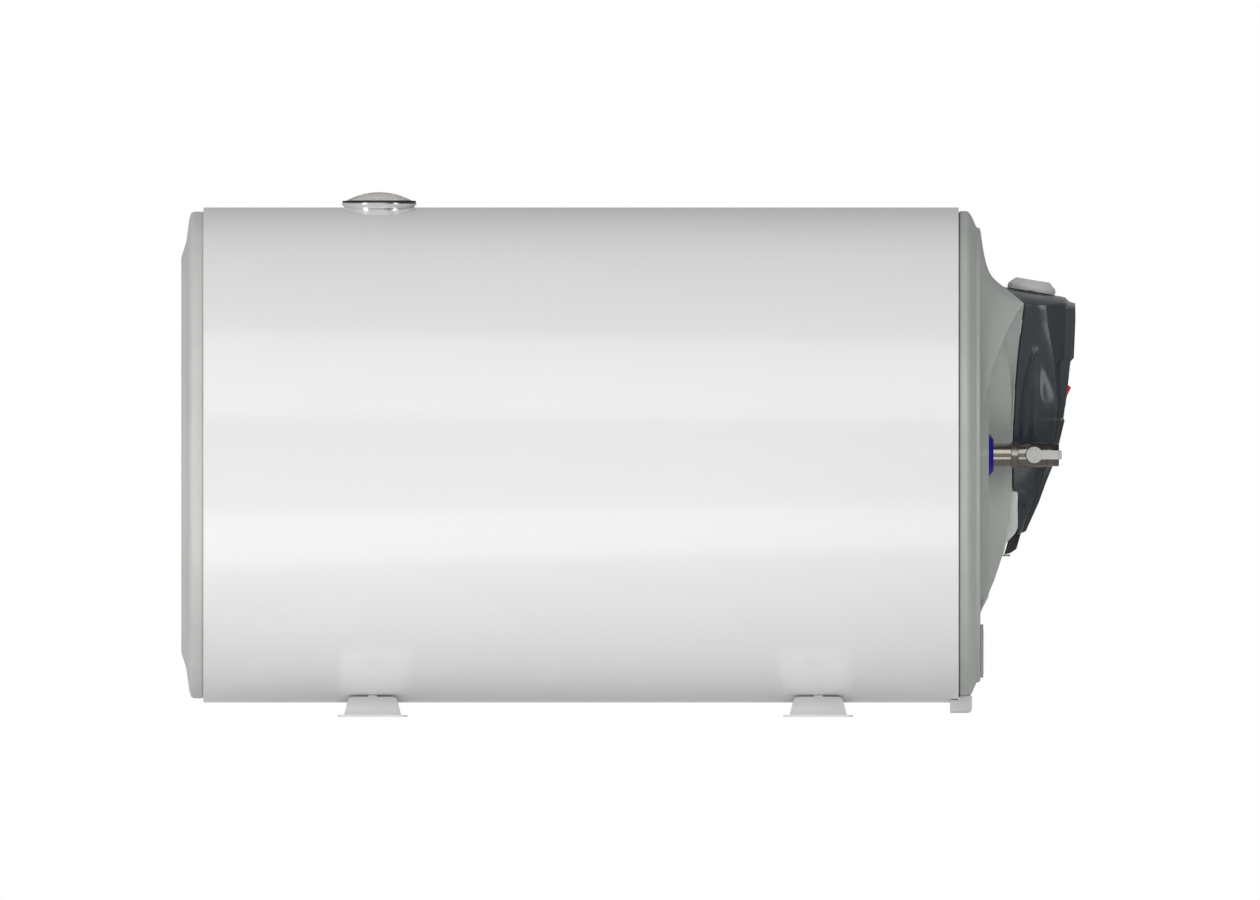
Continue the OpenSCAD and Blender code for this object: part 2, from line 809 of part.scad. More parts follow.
// The knob face is a tilted arc from side to side.
module knob_face_arc(i) {
  translate([hood_corner[0], 0, hood_corner[1]]) rotate([0, 90 + hood_tilt, 0])
    translate([hood_top_r, 0, -60]) cylinder(h = 220, r = hood_top_r - i);
}

module hood_solid(i) {
  intersection() {
    across(i > 0 ? hood_side_inner(i) : hood_side(), 200);
    lengthwise(hood_shield(i), face_x, face_x + 120);
    translate([0, 0, axis_z - 90]) linear_extrude(height = 260) polygon(hood_plan(i));
    knob_face_arc(i);
  }
}

// The inside of the hood, open towards the cap.
function hood_side_inner(i) = on_face(concat(
  [[hood_dx - 1, hood_dz + 5], [hood_dx - 1, 137], [10, 137], [10, -66.7]],
  [[33.8, -69.5 + i], [39, -69 + i]],
  [for (k = [3 : 11]) hood_front[k] - [i * 1.06 + (k > 7 && k < 11 ? recess_depth : 0), 0]],
  [[86.2 - i, 137 - i], [79 - i, 141 - i], [78 - i, hood_dz + 5]]
));

module in_knob_frame() {
  translate([hood_corner[0] + knob_from_corner * cos(hood_tilt), 0,
    hood_corner[1] - knob_from_corner * sin(hood_tilt)])
    rotate([0, hood_tilt, 0]) children();
}

module in_switch_frame() {
  translate([face_x + switch_dx, 0, axis_z + switch_dz]) rotate([0, 90 + switch_lean, 0]) children();
}

// Room that the cap leaves for the hood.
module hood_space() {
  intersection() {
    across(on_face([[15.5, 158], [15.5, 136.9], [60, 136.9], [60, 158]]), 200);
    lengthwise([[-hood_half_w - 0.3, axis_z + 130], [hood_half_w + 0.3, axis_z + 130],
      [hood_half_w + 0.3, axis_z + 160], [-hood_half_w - 0.3, axis_z + 160]], face_x, face_x + 120);
    knob_face_arc(-0.3);
  }
}

module at_hood_screws() {
  for (s = [-1, 1]) translate([0, s * hood_screw_y, hood_screw_dz]) children();
}

module control_hood() {
  rim = switch_wall + slip_gap;
  color("darkslategray") difference() {
    union() {
      difference() {
        hood_solid(0);
        hood_solid(hood_wall);
      }
      intersection() {
        at_hood_screws() rod_x(face_x + 34.2, face_x + 60, 5.5);
        hood_solid(0);
      }
      intersection() {
        in_knob_frame() translate([0, 0, -hood_wall]) cylinder(h = hood_wall, r = knob_r + 1.5);
        across(hood_side(), 200);
      }
    }
    across(on_face(switch_recess), 200);
    in_knob_frame() translate([0, 0, -6]) cylinder(h = 10, r = 5.3);
    in_switch_frame() translate([-rocker_half - rim, -rocker_w / 2 - rim, -8])
      cube([rocker_len + 2 * rim, rocker_w + 2 * rim, 16]);
    at_hood_screws() rod_x(face_x + 30, face_x + 60, hood_screw_r + free_gap);
    at_hood_screws() rod_x(face_x + 42, face_x + 60, 4.3);
    latch_windows();
    gland_space();
  }
}

// Slots in the hood's flanks where the base's latches show.
module latch_windows() {
  box([face_x + 39, -100, axis_z + latch_dz - 8.5], [face_x + 43, 100, axis_z + latch_dz + 0.5]);
}

module hood_screws() {
  color("dimgray") at_hood_screws() {
    rod_x(face_x + 30, face_x + 42, hood_screw_r);
    difference() {
      rod_x(face_x + 42, face_x + 45, 3.8);
      box([face_x + 43.6, -3, axis_z - 0.5], [face_x + 46, 3, axis_z + 0.5]);
    }
  }
}

// Light grey tray under the hood, with the chin that shows below it.
module hood_base_plate() {
  line = [
    [31.3, -38], [31.3, 11], [35.1, 86.4], [36, 112], [33.5, 112], pedestal_line[7],
    pedestal_line[6], pedestal_line[5], [28.2, -33], [28, -38]
  ];
  intersection() {
    across(on_face(line), 200);
    lengthwise(hood_shield(hood_wall + 0.5), face_x, face_x + 60);
  }
}

module hood_base_chin() {
  line = [
    [33.7, -33.4], [28.2, -33], pedestal_line[4], pedestal_line[3], pedestal_line[2],
    [21.3, -89], [23.3, -80.2], [31.6, -71.2], [33.7, -66.7]
  ];
  intersection() {
    across(on_face(line), 200);
    lengthwise(chin_outline(), face_x, face_x + 60);
  }
}

function chin_outline() = let (steps = 8, low = -70, reach = hood_width(low)) concat(
  [for (k = [0 : 4]) let (z = -32 + (low + 32) * k / 4) [-hood_width(z), axis_z + z]],
  [for (k = [1 : 2 * steps - 1]) let (a = 180 + 90 * k / steps) [reach * cos(a), axis_z + low + 24 * sin(a)]],
  [for (k = [4 : -1 : 0]) let (z = -32 + (low + 32) * k / 4) [hood_width(z), axis_z + z]]
);

module hood_base() {
  color("lightgray") difference() {
    union() {
      hood_base_plate();
      hood_base_chin();
      for (s = [-1, 1]) translate([face_x, s * latch_y, axis_z + latch_dz])
        box([33, -2, -8], [42, 2, 0]);
    }
    box([face_x + 20, -34, axis_z + 8], [face_x + 60, 34, axis_z + 104]);
    at_hood_screws() rod_x(face_x + 15, face_x + 40, hood_screw_r);
    gland_space();
    gland_pin_hole();
  }
}

module thermostat_body() {
  half = 17;
  top = -hood_wall - half * half / (2 * hood_top_r) - slip_gap;
  color("ivory") in_knob_frame() difference() {
    union() {
      box([-5, -half, -27], [29, half, top]);
      translate([0, 0, top - eps]) cylinder(h = eps - top - 0.2, r = 5);
    }
    translate([0, 0, -16]) cylinder(h = 20, r = spindle_r + run_gap);
  }
}

module thermostat_spindle() {
  color("silver") in_knob_frame() translate([0, 0, -15.5]) cylinder(h = 15.5 + knob_h - 3.5, r = spindle_r);
}

module thermostat_knob() {
  color("lightgray") in_knob_frame() difference() {
    union() {
      rotate_extrude() polygon([[0, knob_gap], [knob_r, knob_gap], [knob_r, 3.6], [knob_r - 0.9, 5.4],
        [knob_r - 6, knob_h - 0.6], [knob_r - 7.4, knob_h], [0, knob_h]]);
      rotate([0, 0, 200]) translate([0, -1.5, knob_gap]) cube([knob_r + 0.4, 3, 4.4]);
    }
    translate([0, 0, -eps]) cylinder(h = knob_h - 3.5 + eps, r = spindle_r);
    difference() {
      translate([0, 0, -eps]) cylinder(h = 4, r = knob_r - 2);
      translate([0, 0, -2 * eps]) cylinder(h = 8, r = spindle_r + 2.5);
    }
  }
}

module switch_body() {
  wall = switch_wall;
  color("black") in_switch_frame() difference() {
    translate([-rocker_half - wall, -rocker_w / 2 - wall, -17])
      cube([rocker_len + 2 * wall, rocker_w + 2 * wall, 17.4]);
    translate([-rocker_half - free_gap, -rocker_w / 2 - free_gap, -9])
      cube([rocker_len + 2 * free_gap, rocker_w + 2 * free_gap, 12]);
    translate([0, 0, -pivot_depth]) rotate([90, 0, 0])
      cylinder(h = 30, r = pivot_r + run_gap, center = true);
  }
}

module switch_rocker() {
  h = rocker_half;
  color("red") in_switch_frame() {
    rotate([90, 0, 0]) linear_extrude(height = rocker_w, center = true)
      polygon([[-h + 0.5, 0.2], [-h + 2.1, 3.5], [0, 0.9], [h - 0.4, 0], [h - 0.5, -3],
        [2, -6.5], [-2, -6.5], [-h + 0.3, -1.5]]);
    translate([0, 0, -pivot_depth]) rotate([90, 0, 0])
      cylinder(h = rocker_w + 2 * (free_gap + 0.6), r = pivot_r, center = true);
  }
}

module terminal_block() {
  color("ivory") difference() {
    box([block_x, -22, axis_z - 24], [block_x + block_t, 22, axis_z + 2]);
    for (k = [-1, 0, 1]) {
      rod_x(block_x + 5, block_x + block_t + eps, socket_r, block_pitch * k, axis_z + socket_dz);
      translate([block_x + block_t / 2, block_pitch * k, axis_z - 30]) cylinder(h = 16, r = socket_r);
    }
  }
}

// A point on a smooth curve with two control points.
function bend(a, b, c, d, t) =
  pow(1 - t, 3) * a + 3 * pow(1 - t, 2) * t * b + 3 * (1 - t) * t * t * c + pow(t, 3) * d;

// Sweeps a round wire of radius r along points.
module wire(path, r) {
  sides = 8;
  n = len(path);
  heading = [for (i = [0 : n - 1]) unit(path[min(i + 1, n - 1)] - path[max(i - 1, 0)])];
  points = [
    for (i = [0 : n - 1])
      let (t = heading[i], a = unit(cross(t, [0.13, 1, 0.21])), b = cross(t, a))
      for (k = [0 : sides - 1]) path[i] + r * (a * cos(360 * k / sides) + b * sin(360 * k / sides))
  ];
  faces = concat(
    [[for (k = [0 : sides - 1]) k]],
    [for (i = [0 : n - 2]) for (k = [0 : sides - 1])
      let (p = i * sides + k, q = i * sides + (k + 1) % sides) [p, p + sides, q + sides, q]],
    [[for (k = [sides - 1 : -1 : 0]) (n - 1) * sides + k]]
  );
  polyhedron(points, faces, convexity = 6);
}

// Thin tube that joins the sensing bulb to the thermostat's bellows.
module thermostat_capillary() {
  steps = 16;
  z0 = axis_z + pocket_z - (pocket_r - 1 - 3);
  run = plate_x1 + 18;
  end = hood_corner + [31.6, -32.8];
  color("goldenrod") wire(concat([[plate_x1 - pocket_len + 92, 0, z0]],
    [for (i = [0 : steps])
      bend([run, 0, z0], [run + 42, 0, z0], [end[0] + 3, 0, end[1] - 38], [end[0], 0, end[1]],
        i / steps)]), 0.9);
}

// Three leads from the terminal block's sockets through the window to the element terminals.
module internal_wires() {
  end_x = plate_x1 + 3 + terminal_out;
  steps = 14;
  color("saddlebrown") for (k = [-1, 0, 1]) {
    a = [block_x + block_t + 1, block_pitch * k, axis_z + socket_dz];
    d = [end_x + 0.3, k == 0 ? leg_y : k * leg_y, axis_z + (k == 0 ? leg_rows[1] : leg_rows[0])];
    b = a + [16, 3 * k, 22];
    c = [end_x + 44, d[1], d[2] + 34];
    wire(concat([a - [block_t - 4.2, 0, 0]],
      [for (i = [0 : steps]) bend(a, b, c, d + [8, 0, 0], i / steps)], [d]), lead_r);
  }
}

// ---------- cable outlet ----------

module in_gland_frame() {
  translate([face_x + gland_dx, 0, axis_z + gland_dz]) rotate([0, gland_tilt, 0]) children();
}

module gland_space() {
  in_gland_frame() box([-4.8, -gland_half_w - slip_gap, -16], [4.8, gland_half_w + slip_gap, 16.1]);
}

module cable_gland() {
  color("black") difference() {
    in_gland_frame() difference() {
      rotate([90, 0, 0]) linear_extrude(height = 2 * gland_half_w, center = true)
        polygon([[-4.7, -12], [0.6, -9], [4.7, -4], [4.7, 16], [-4.7, 16]]);
      translate([0, 0, -16]) cylinder(h = 40, r = cable_r);
    }
    pedestal(0);
    gland_pin_hole();
  }
}

module gland_pin() {
  color("gray") {
    rod_x(face_x + 14, face_x + 26, pin_r, pin_y, axis_z + pin_dz);
    translate([face_x + 26, pin_y, axis_z + pin_dz]) sphere(r = pin_r + 0.25, $fn = 24);
  }
}

module gland_pin_hole() {
  rod_x(face_x, face_x + 26, pin_r, pin_y, axis_z + pin_dz);
}

// ---------- thermometer ----------

module at_dial(z = 0) {
  translate([dial_x, 0, jacket_top + z]) children();
}

module thermometer_cup() {
  color("gray") difference() {
    union() {
      at_dial(-12) cylinder(h = 12 + dial_seat, r = cup_r);
      intersection() {
        at_dial(-30) cylinder(h = 19, r = 4);
        difference() {
          at_dial(-30) cylinder(h = 30, r = 10);
          rod_x(jacket_x0, jacket_x1, tank_r);
        }
      }
    }
    at_dial(-10.5) cylinder(h = 20, r = cup_r - 1.5);
  }
}

module thermometer_bezel() {
  color("silver") difference() {
    at_dial() rotate_extrude() polygon([[cup_r, -bezel_skirt], [bezel_r - 2.4, -bezel_skirt],
      [bezel_r - 2.4, 0], [bezel_r - 0.4, 2.2], [bezel_r, 3], [bezel_r, gasket_seat - 0.4],
      [bezel_r - 0.4, gasket_seat], [dial_r, gasket_seat], [dial_r, dial_seat], [cup_r, dial_seat]]);
    rod_x(jacket_x0, jacket_x1, jacket_r);
  }
}

module thermometer_gasket() {
  color("black") at_dial(gasket_seat) difference() {
    cylinder(h = lens_seat - gasket_seat, r = bezel_r - 0.5);
    translate([0, 0, -eps]) cylinder(h = 4, r = dial_r);
  }
}

module dial_face() {
  color("white") at_dial(dial_seat) difference() {
    cylinder(h = 0.6, r = dial_r);
    translate([0, 0, -eps]) cylinder(h = 3, r = needle_pin_r + 0.3);
  }
}

module dial_needle() {
  color("red") at_dial(needle_z) {
    translate([0, 0, -11]) cylinder(h = 11, r = needle_pin_r);
    cylinder(h = 0.7, r = 3);
    linear_extrude(height = 0.6) polygon([[-8, -1.6], [needle_len, -0.3], [needle_len, 0.3], [-8, 1.6]]);
  }
}

module thermometer_lens() {
  dome_r = (lens_r * lens_r + lens_rise * lens_rise) / (2 * lens_rise);
  shell = 1.4;
  color("aliceblue") at_dial(lens_seat) difference() {
    intersection() {
      translate([0, 0, lens_rise - dome_r]) sphere(r = dome_r);
      cylinder(h = lens_rise + eps, r = lens_r + eps);
    }
    translate([0, 0, lens_rise - dome_r]) sphere(r = dome_r - shell);
  }
}

// ---------- mounting ----------

// Four radial bolts, two to a bracket; each place has its Z axis pointing out of the tank, downwards.
module bracket_bolt_places() {
  for (x = [-bracket_pitch / 2, bracket_pitch / 2]) for (s = [-1, 1])
    translate([x, 0, axis_z]) rotate([180 + s * boss_angle, 0, 0]) translate([0, 0, tank_r - 20]) children();
}

module bracket_bosses() {
  color("slategray") difference() {
    intersection() {
      bracket_bolt_places() cylinder(h = 60, r = boss_r);
      rod_x(jacket_x0, jacket_x1, jacket_r - jacket_wall - slip_gap);
    }
    rod_x(jacket_x0, jacket_x1, tank_r);
    bracket_bolt_places() cylinder(h = 60, r = bolt_r);
  }
}

module bracket_bolts() {
  seat = 20 + jacket_r - tank_r + bracket_t;
  color("gray") bracket_bolt_places() {
    translate([0, 0, 21]) cylinder(h = seat - 21, r = bolt_r);
    translate([0, 0, seat]) rotate([0, 0, 30]) cylinder(h = bolt_head_h, r = 13 / sqrt(3), $fn = 6);
  }
}

// Section of the pressed hat along the tank.
function hat_section(i) = [
  [-26.8 + i, -eps], [26.8 - i, -eps], [24 - i, 9.5], [22.8 - i, 14], [21.4 - i, hat_h - 1.1 - i],
  [19 - i * 0.6, hat_h - i], [-19 + i * 0.6, hat_h - i], [-21.4 + i, hat_h - 1.1 - i],
  [-22.8 + i, 14], [-24 + i, 9.5]
];

// Section of the pressed hat across the tank: upright ends, a slope, then the crown.
function hat_ends(i) = [
  [-hat_half_len + i, -2 * eps], [hat_half_len - i, -2 * eps], [hat_half_len - 0.6 - i, 9.5 - i * 0.4],
  [hat_half_len - 6 - i * 0.7, hat_h - i], [-hat_half_len + 6 + i * 0.7, hat_h - i],
  [-hat_half_len + 0.6 + i, 9.5 - i * 0.4]
];

module hat(i) {
  difference() {
    intersection() {
      across(hat_section(i), 300);
      lengthwise(hat_ends(i), -60, 60);
    }
    rod_x(-100, 100, jacket_r + i);
  }
}

module rounded_foot() {
  corner = 8;
  difference() {
    box([-bracket_w / 2, -bracket_len / 2, 0], [bracket_w / 2, bracket_len / 2, bracket_t]);
    for (sx = [0, 1]) for (sy = [0, 1]) mirror([sx, 0, 0]) mirror([0, sy, 0])
      translate([bracket_w / 2 - corner, bracket_len / 2 - corner, 0]) difference() {
        box([0, 0, -eps], [corner + eps, corner + eps, bracket_t + eps]);
        translate([0, 0, -2 * eps]) cylinder(h = 20, r = corner);
      }
  }
}

module slot() {
  travel = (slot_len - slot_w) / 2;
  for (s = [-1, 1]) translate([s * travel, 0, -eps]) cylinder(h = 10, r = slot_w / 2);
  box([-travel, -slot_w / 2, -eps], [travel, slot_w / 2, 9]);
}

module wall_bracket(x) {
  difference() {
    translate([x, 0, 0]) difference() {
      union() {
        rounded_foot();
        hat(0);
        for (s = [-1, 1]) translate([0, s * (hat_half_len - 7.5), 0])
          box([-4, -1.5, hat_h - 1], [4, 1.5, hat_h + 1.2]);
      }
      hat(bracket_t);
      box([-100, -200, -20], [100, 200, 0]);
      for (s = [-1, 1]) translate([0, s * slot_pitch / 2, 0]) slot();
    }
    bracket_bolt_places() cylinder(h = 60, r = bolt_r + slip_gap);
    rod_x(jacket_x0, jacket_x1, jacket_r);
  }
}

module wall_bracket_left() {
  color("whitesmoke") wall_bracket(-bracket_pitch / 2);
}

module wall_bracket_right() {
  color("whitesmoke") wall_bracket(bracket_pitch / 2);
}

// Moulded foot that holds the connection end off the wall.
module wall_spacer() {
  x0 = jacket_x1 - spacer_w + 11.8;
  x1 = jacket_x1 + 11.8;
  z0 = bracket_standoff - spacer_drop;
  r = 4;
  outline = concat([[x0, z0]],
    [for (k = [0 : 4]) let (a = -90 + 90 * k / 4) [x1 - r + r * cos(a), z0 + r + r * sin(a)]],
    [[x1, bracket_standoff + 16], [x0, bracket_standoff + 16]]);
  color("gainsboro") difference() {
    across(outline, 2 * spacer_half);
    rod_x(x0 - eps, jacket_x1 + free_gap, jacket_r + free_gap);
    rod_x(jacket_x1, x1 + eps, cap_r);
    box([x0 + 2, 2 - spacer_half, z0 - eps], [x1 - 2, spacer_half - 2, z0 + spacer_drop - 3]);
  }
}

module rating_plate() {
  low = axis_z - jacket_r + 22.5;
  color("darkgray") box([face_x, -30, low], [face_x + 2.6, 30, low + 48.6]);
}

jacket();
plain_end_cap();
connection_cap();
insulation_foam();
tank_barrel();
tank_plain_head();
tank_service_head();
flange_neck();
flange_studs();
flange_gasket();
flange_plate();
flange_nuts();
heating_element();
element_terminals();
anode_rod();
anode_nut();
thermostat_pocket();
thermostat_bulb();
thermostat_capillary();
safety_cutout();
reset_button();
cold_pipe();
cold_diffuser();
cold_collar();
hot_pipe();
hot_dip_tube();
hot_collar();
valve_union_nut();
valve_washer();
valve_body();
valve_end();
valve_seats();
valve_ball();
valve_stem();
valve_lever();
hood_base();
control_hood();
hood_screws();
thermostat_body();
thermostat_spindle();
thermostat_knob();
switch_body();
switch_rocker();
terminal_block();
internal_wires();
cable_gland();
gland_pin();
thermometer_cup();
thermometer_bezel();
thermometer_gasket();
dial_face();
dial_needle();
thermometer_lens();
wall_bracket_left();
wall_bracket_right();
bracket_bosses();
bracket_bolts();
wall_spacer();
rating_plate();
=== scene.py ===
import json
import math

import bmesh
import bpy
from mathutils import Matrix, Vector


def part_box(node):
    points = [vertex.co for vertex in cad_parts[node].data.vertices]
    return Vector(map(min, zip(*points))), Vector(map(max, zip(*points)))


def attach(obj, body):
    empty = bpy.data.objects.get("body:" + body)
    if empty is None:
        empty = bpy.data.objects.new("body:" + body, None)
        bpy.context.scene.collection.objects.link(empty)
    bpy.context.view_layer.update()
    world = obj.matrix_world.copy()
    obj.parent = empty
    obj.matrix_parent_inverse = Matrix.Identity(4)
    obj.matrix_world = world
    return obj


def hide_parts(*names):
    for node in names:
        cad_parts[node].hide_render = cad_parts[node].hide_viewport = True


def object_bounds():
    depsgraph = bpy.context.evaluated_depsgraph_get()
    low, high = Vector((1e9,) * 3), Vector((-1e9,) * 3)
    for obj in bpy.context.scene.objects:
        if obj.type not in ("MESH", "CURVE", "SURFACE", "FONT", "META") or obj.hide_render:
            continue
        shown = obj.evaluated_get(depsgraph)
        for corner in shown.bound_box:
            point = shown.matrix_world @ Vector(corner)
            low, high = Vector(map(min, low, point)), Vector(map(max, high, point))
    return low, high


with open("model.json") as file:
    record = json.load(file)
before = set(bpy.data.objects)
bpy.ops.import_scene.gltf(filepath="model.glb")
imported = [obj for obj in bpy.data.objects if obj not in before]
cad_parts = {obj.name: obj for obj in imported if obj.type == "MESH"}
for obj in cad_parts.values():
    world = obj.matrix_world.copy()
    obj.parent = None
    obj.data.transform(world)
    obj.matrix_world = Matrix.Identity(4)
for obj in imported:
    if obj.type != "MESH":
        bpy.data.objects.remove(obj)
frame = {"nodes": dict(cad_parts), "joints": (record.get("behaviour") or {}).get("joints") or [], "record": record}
CAD_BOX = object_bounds()

MM = 0.001
UP = Matrix.Identity(4)
QUARTER = math.pi / 2


# ---------------------------------------------------------------- measures
def box_mm(node):
    """Lowest and highest corner of a CAD node, in millimetres."""
    low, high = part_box(node)
    return [c / MM for c in low], [c / MM for c in high]


JACKET_LOW, JACKET_HIGH = box_mm("jacket")
JACKET_R = (JACKET_HIGH[2] - JACKET_LOW[2]) / 2
AXIS_Z = (JACKET_HIGH[2] + JACKET_LOW[2]) / 2
JACKET_X0, JACKET_X1 = JACKET_LOW[0], JACKET_HIGH[0]
FACE_X = box_mm("rating_plate")[0][0]
CAP_R = JACKET_R - 3.3
PLAIN_R = JACKET_R - 3.8
PIPE_LOW, PIPE_HIGH = box_mm("cold_pipe")
PIPE_Y = -(PIPE_LOW[1] + PIPE_HIGH[1]) / 2
PIPE_R = (PIPE_HIGH[2] - PIPE_LOW[2]) / 2
THREAD_PITCH = 1.814
BALL_X = 399.0
DIAL_LOW, DIAL_HIGH = box_mm("thermometer_bezel")
DIAL_X = (DIAL_LOW[0] + DIAL_HIGH[0]) / 2
JACKET_TOP = JACKET_HIGH[2]


def lerp(a, b, t):
    return a + (b - a) * t


def smooth(t):
    t = min(1.0, max(0.0, t))
    return t * t * (3 - 2 * t)


def on_circle(radius, degrees):
    a = math.radians(degrees)
    return radius * math.cos(a), radius * math.sin(a)


def along(points, v, column=1):
    """Reads the other coordinate of a polyline at height v; the column is sorted upwards."""
    other = 1 - column
    if v <= points[0][column]:
        return points[0][other]
    for a, b in zip(points, points[1:]):
        if v <= b[column]:
            span = b[column] - a[column]
            return a[other] if span == 0 else lerp(a[other], b[other], (v - a[column]) / span)
    return points[-1][other]


def eased(points, radius, steps=4, closed=False):
    """Rounds the corners of an outline, each by at most 45% of its shorter side."""
    out = []
    n = len(points)
    for i, p in enumerate(points):
        if not closed and i in (0, n - 1):
            out.append(tuple(p))
            continue
        a, b, c = Vector(points[i - 1]), Vector(p), Vector(points[(i + 1) % n])
        reach = min(radius, 0.45 * (a - b).length, 0.45 * (c - b).length)
        if reach < 0.01:
            out.append(tuple(p))
            continue
        start, end = b + (a - b).normalized() * reach, b + (c - b).normalized() * reach
        for k in range(steps + 1):
            t = k / steps
            out.append(tuple(start * (1 - t) ** 2 + b * 2 * t * (1 - t) + end * t * t))
    return out


# ---------------------------------------------------------------- mesh making
def piece(name, verts, faces, crease=35, place=UP):
    """A smooth-shaded object from points in millimetres; edges sharper than crease stay hard."""
    mesh = bpy.data.meshes.new(name)
    mesh.from_pydata([place @ (Vector(v) * MM) for v in verts], [], faces)
    shaped = bmesh.new()
    shaped.from_mesh(mesh)
    bmesh.ops.remove_doubles(shaped, verts=shaped.verts, dist=1e-7)
    bmesh.ops.dissolve_degenerate(shaped, edges=shaped.edges, dist=1e-7)
    bmesh.ops.recalc_face_normals(shaped, faces=shaped.faces)
    for face in shaped.faces:
        face.smooth = True
    for edge in shaped.edges:
        if len(edge.link_faces) == 2:
            edge.smooth = edge.calc_face_angle(0) < math.radians(crease)
    shaped.to_mesh(mesh)
    shaped.free()
    obj = bpy.data.objects.new(name, mesh)
    bpy.context.scene.collection.objects.link(obj)
    return obj


def woven(rows, wrap_rows=False, wrap_columns=False):
    """Points and quads of a grid of rows."""
    columns = len(rows[0])
    verts = [p for row in rows for p in row]
    faces = []
    for i in range(len(rows) if wrap_rows else len(rows) - 1):
        for j in range(columns if wrap_columns else columns - 1):
            a, b = i * columns, ((i + 1) % len(rows)) * columns
            k = (j + 1) % columns
            faces.append((a + j, a + k, b + k, b + j))
    return verts, faces


def turned(name, section, place, segments=128, crease=35, closed=True):
    """A lathe-turned piece: section is (radius, height) along the local Z axis."""
    rows = []
    for r, h in section:
        rows.append([(r * math.cos(math.tau * k / segments), r * math.sin(math.tau * k / segments), h)
                     for k in range(segments)])
    return piece(name, *woven(rows, wrap_rows=closed, wrap_columns=True), crease=crease, place=place)


def slab(name, outline, low, high, place, round_off=0.4, steps=3):
    """An outline in local X and Y, thick from low to high, with rounded edges."""
    n = len(outline)
    verts = [(x, y, low) for x, y in outline] + [(x, y, high) for x, y in outline]
    faces = [tuple(range(n - 1, -1, -1)), tuple(range(n, 2 * n))]
    faces += [(i, (i + 1) % n, n + (i + 1) % n, n + i) for i in range(n)]
    obj = piece(name, verts, faces, crease=180, place=place)
    round_edges(obj, round_off, steps)
    return obj


def round_edges(obj, width, steps=3, limit=30):
    rounder = obj.modifiers.new("rounded edges", "BEVEL")
    rounder.width = width * MM
    rounder.segments = steps
    rounder.limit_method = "ANGLE"
    rounder.angle_limit = math.radians(limit)
    rounder.harden_normals = True
    return obj


def upright(x, y, z):
    """Local axes stay as they are in the world."""
    return Matrix.Translation(Vector((x, y, z)) * MM)


def along_x(x, y=0.0):
    """Local Z points along world X, at the height of the tank's axis."""
    return upright(x, y, AXIS_Z) @ Matrix.Rotation(QUARTER, 4, "Y")


def towards_viewer(x, y, z):
    """Local X stays X, local Y becomes up, local Z points to -Y."""
    return upright(x, y, z) @ Matrix.Rotation(QUARTER, 4, "X")


# ---------------------------------------------------------------- shader groups
def new_group(name, inputs, outputs):
    group = bpy.data.node_groups.new(name, "ShaderNodeTree")
    for label, kind, value in inputs:
        socket = group.interface.new_socket(label, in_out="INPUT", socket_type=kind)
        socket.default_value = value
    for label, kind in outputs:
        group.interface.new_socket(label, in_out="OUTPUT", socket_type=kind)
    return group, group.nodes.new("NodeGroupInput"), group.nodes.new("NodeGroupOutput")


class Bench:
    """Short words for wiring one node tree."""

    def __init__(self, tree):
        self.tree = tree

    def node(self, kind, **settings):
        made = self.tree.nodes.new(kind)
        for key, value in settings.items():
            setattr(made, key, value)
        return made

    def join(self, source, target):
        self.tree.links.new(source, target)

    def value(self, socket, value):
        if isinstance(value, bpy.types.NodeSocket):
            self.join(value, socket)
        else:
            socket.default_value = value

    def maths(self, operation, a, b=0.0, clamp=False):
        made = self.node("ShaderNodeMath", operation=operation, use_clamp=clamp)
        self.value(made.inputs[0], a)
        self.value(made.inputs[1], b)
        return made.outputs[0]

    def noise(self, vector, scale, detail=3.0, rough=0.5):
        made = self.node("ShaderNodeTexNoise")
        self.value(made.inputs["Vector"], vector)
        self.value(made.inputs["Scale"], scale)
        made.inputs["Detail"].default_value = detail
        made.inputs["Roughness"].default_value = rough
        return made.outputs["Fac"]

    def spread(self, value, low, high, to_low=0.0, to_high=1.0):
        made = self.node("ShaderNodeMapRange")
        self.value(made.inputs["Value"], value)
        for label, v in (("From Min", low), ("From Max", high), ("To Min", to_low), ("To Max", to_high)):
            self.value(made.inputs[label], v)
        return made.outputs["Result"]

    def blend(self, factor, a, b):
        made = self.node("ShaderNodeMix", data_type="RGBA")
        self.value(made.inputs[0], factor)
        self.value(made.inputs[6], a)
        self.value(made.inputs[7], b)
        return made.outputs[2]

    def stretched(self, vector, scale):
        made = self.node("ShaderNodeMapping")
        self.value(made.inputs["Vector"], vector)
        self.value(made.inputs["Scale"], scale)
        return made.outputs["Vector"]


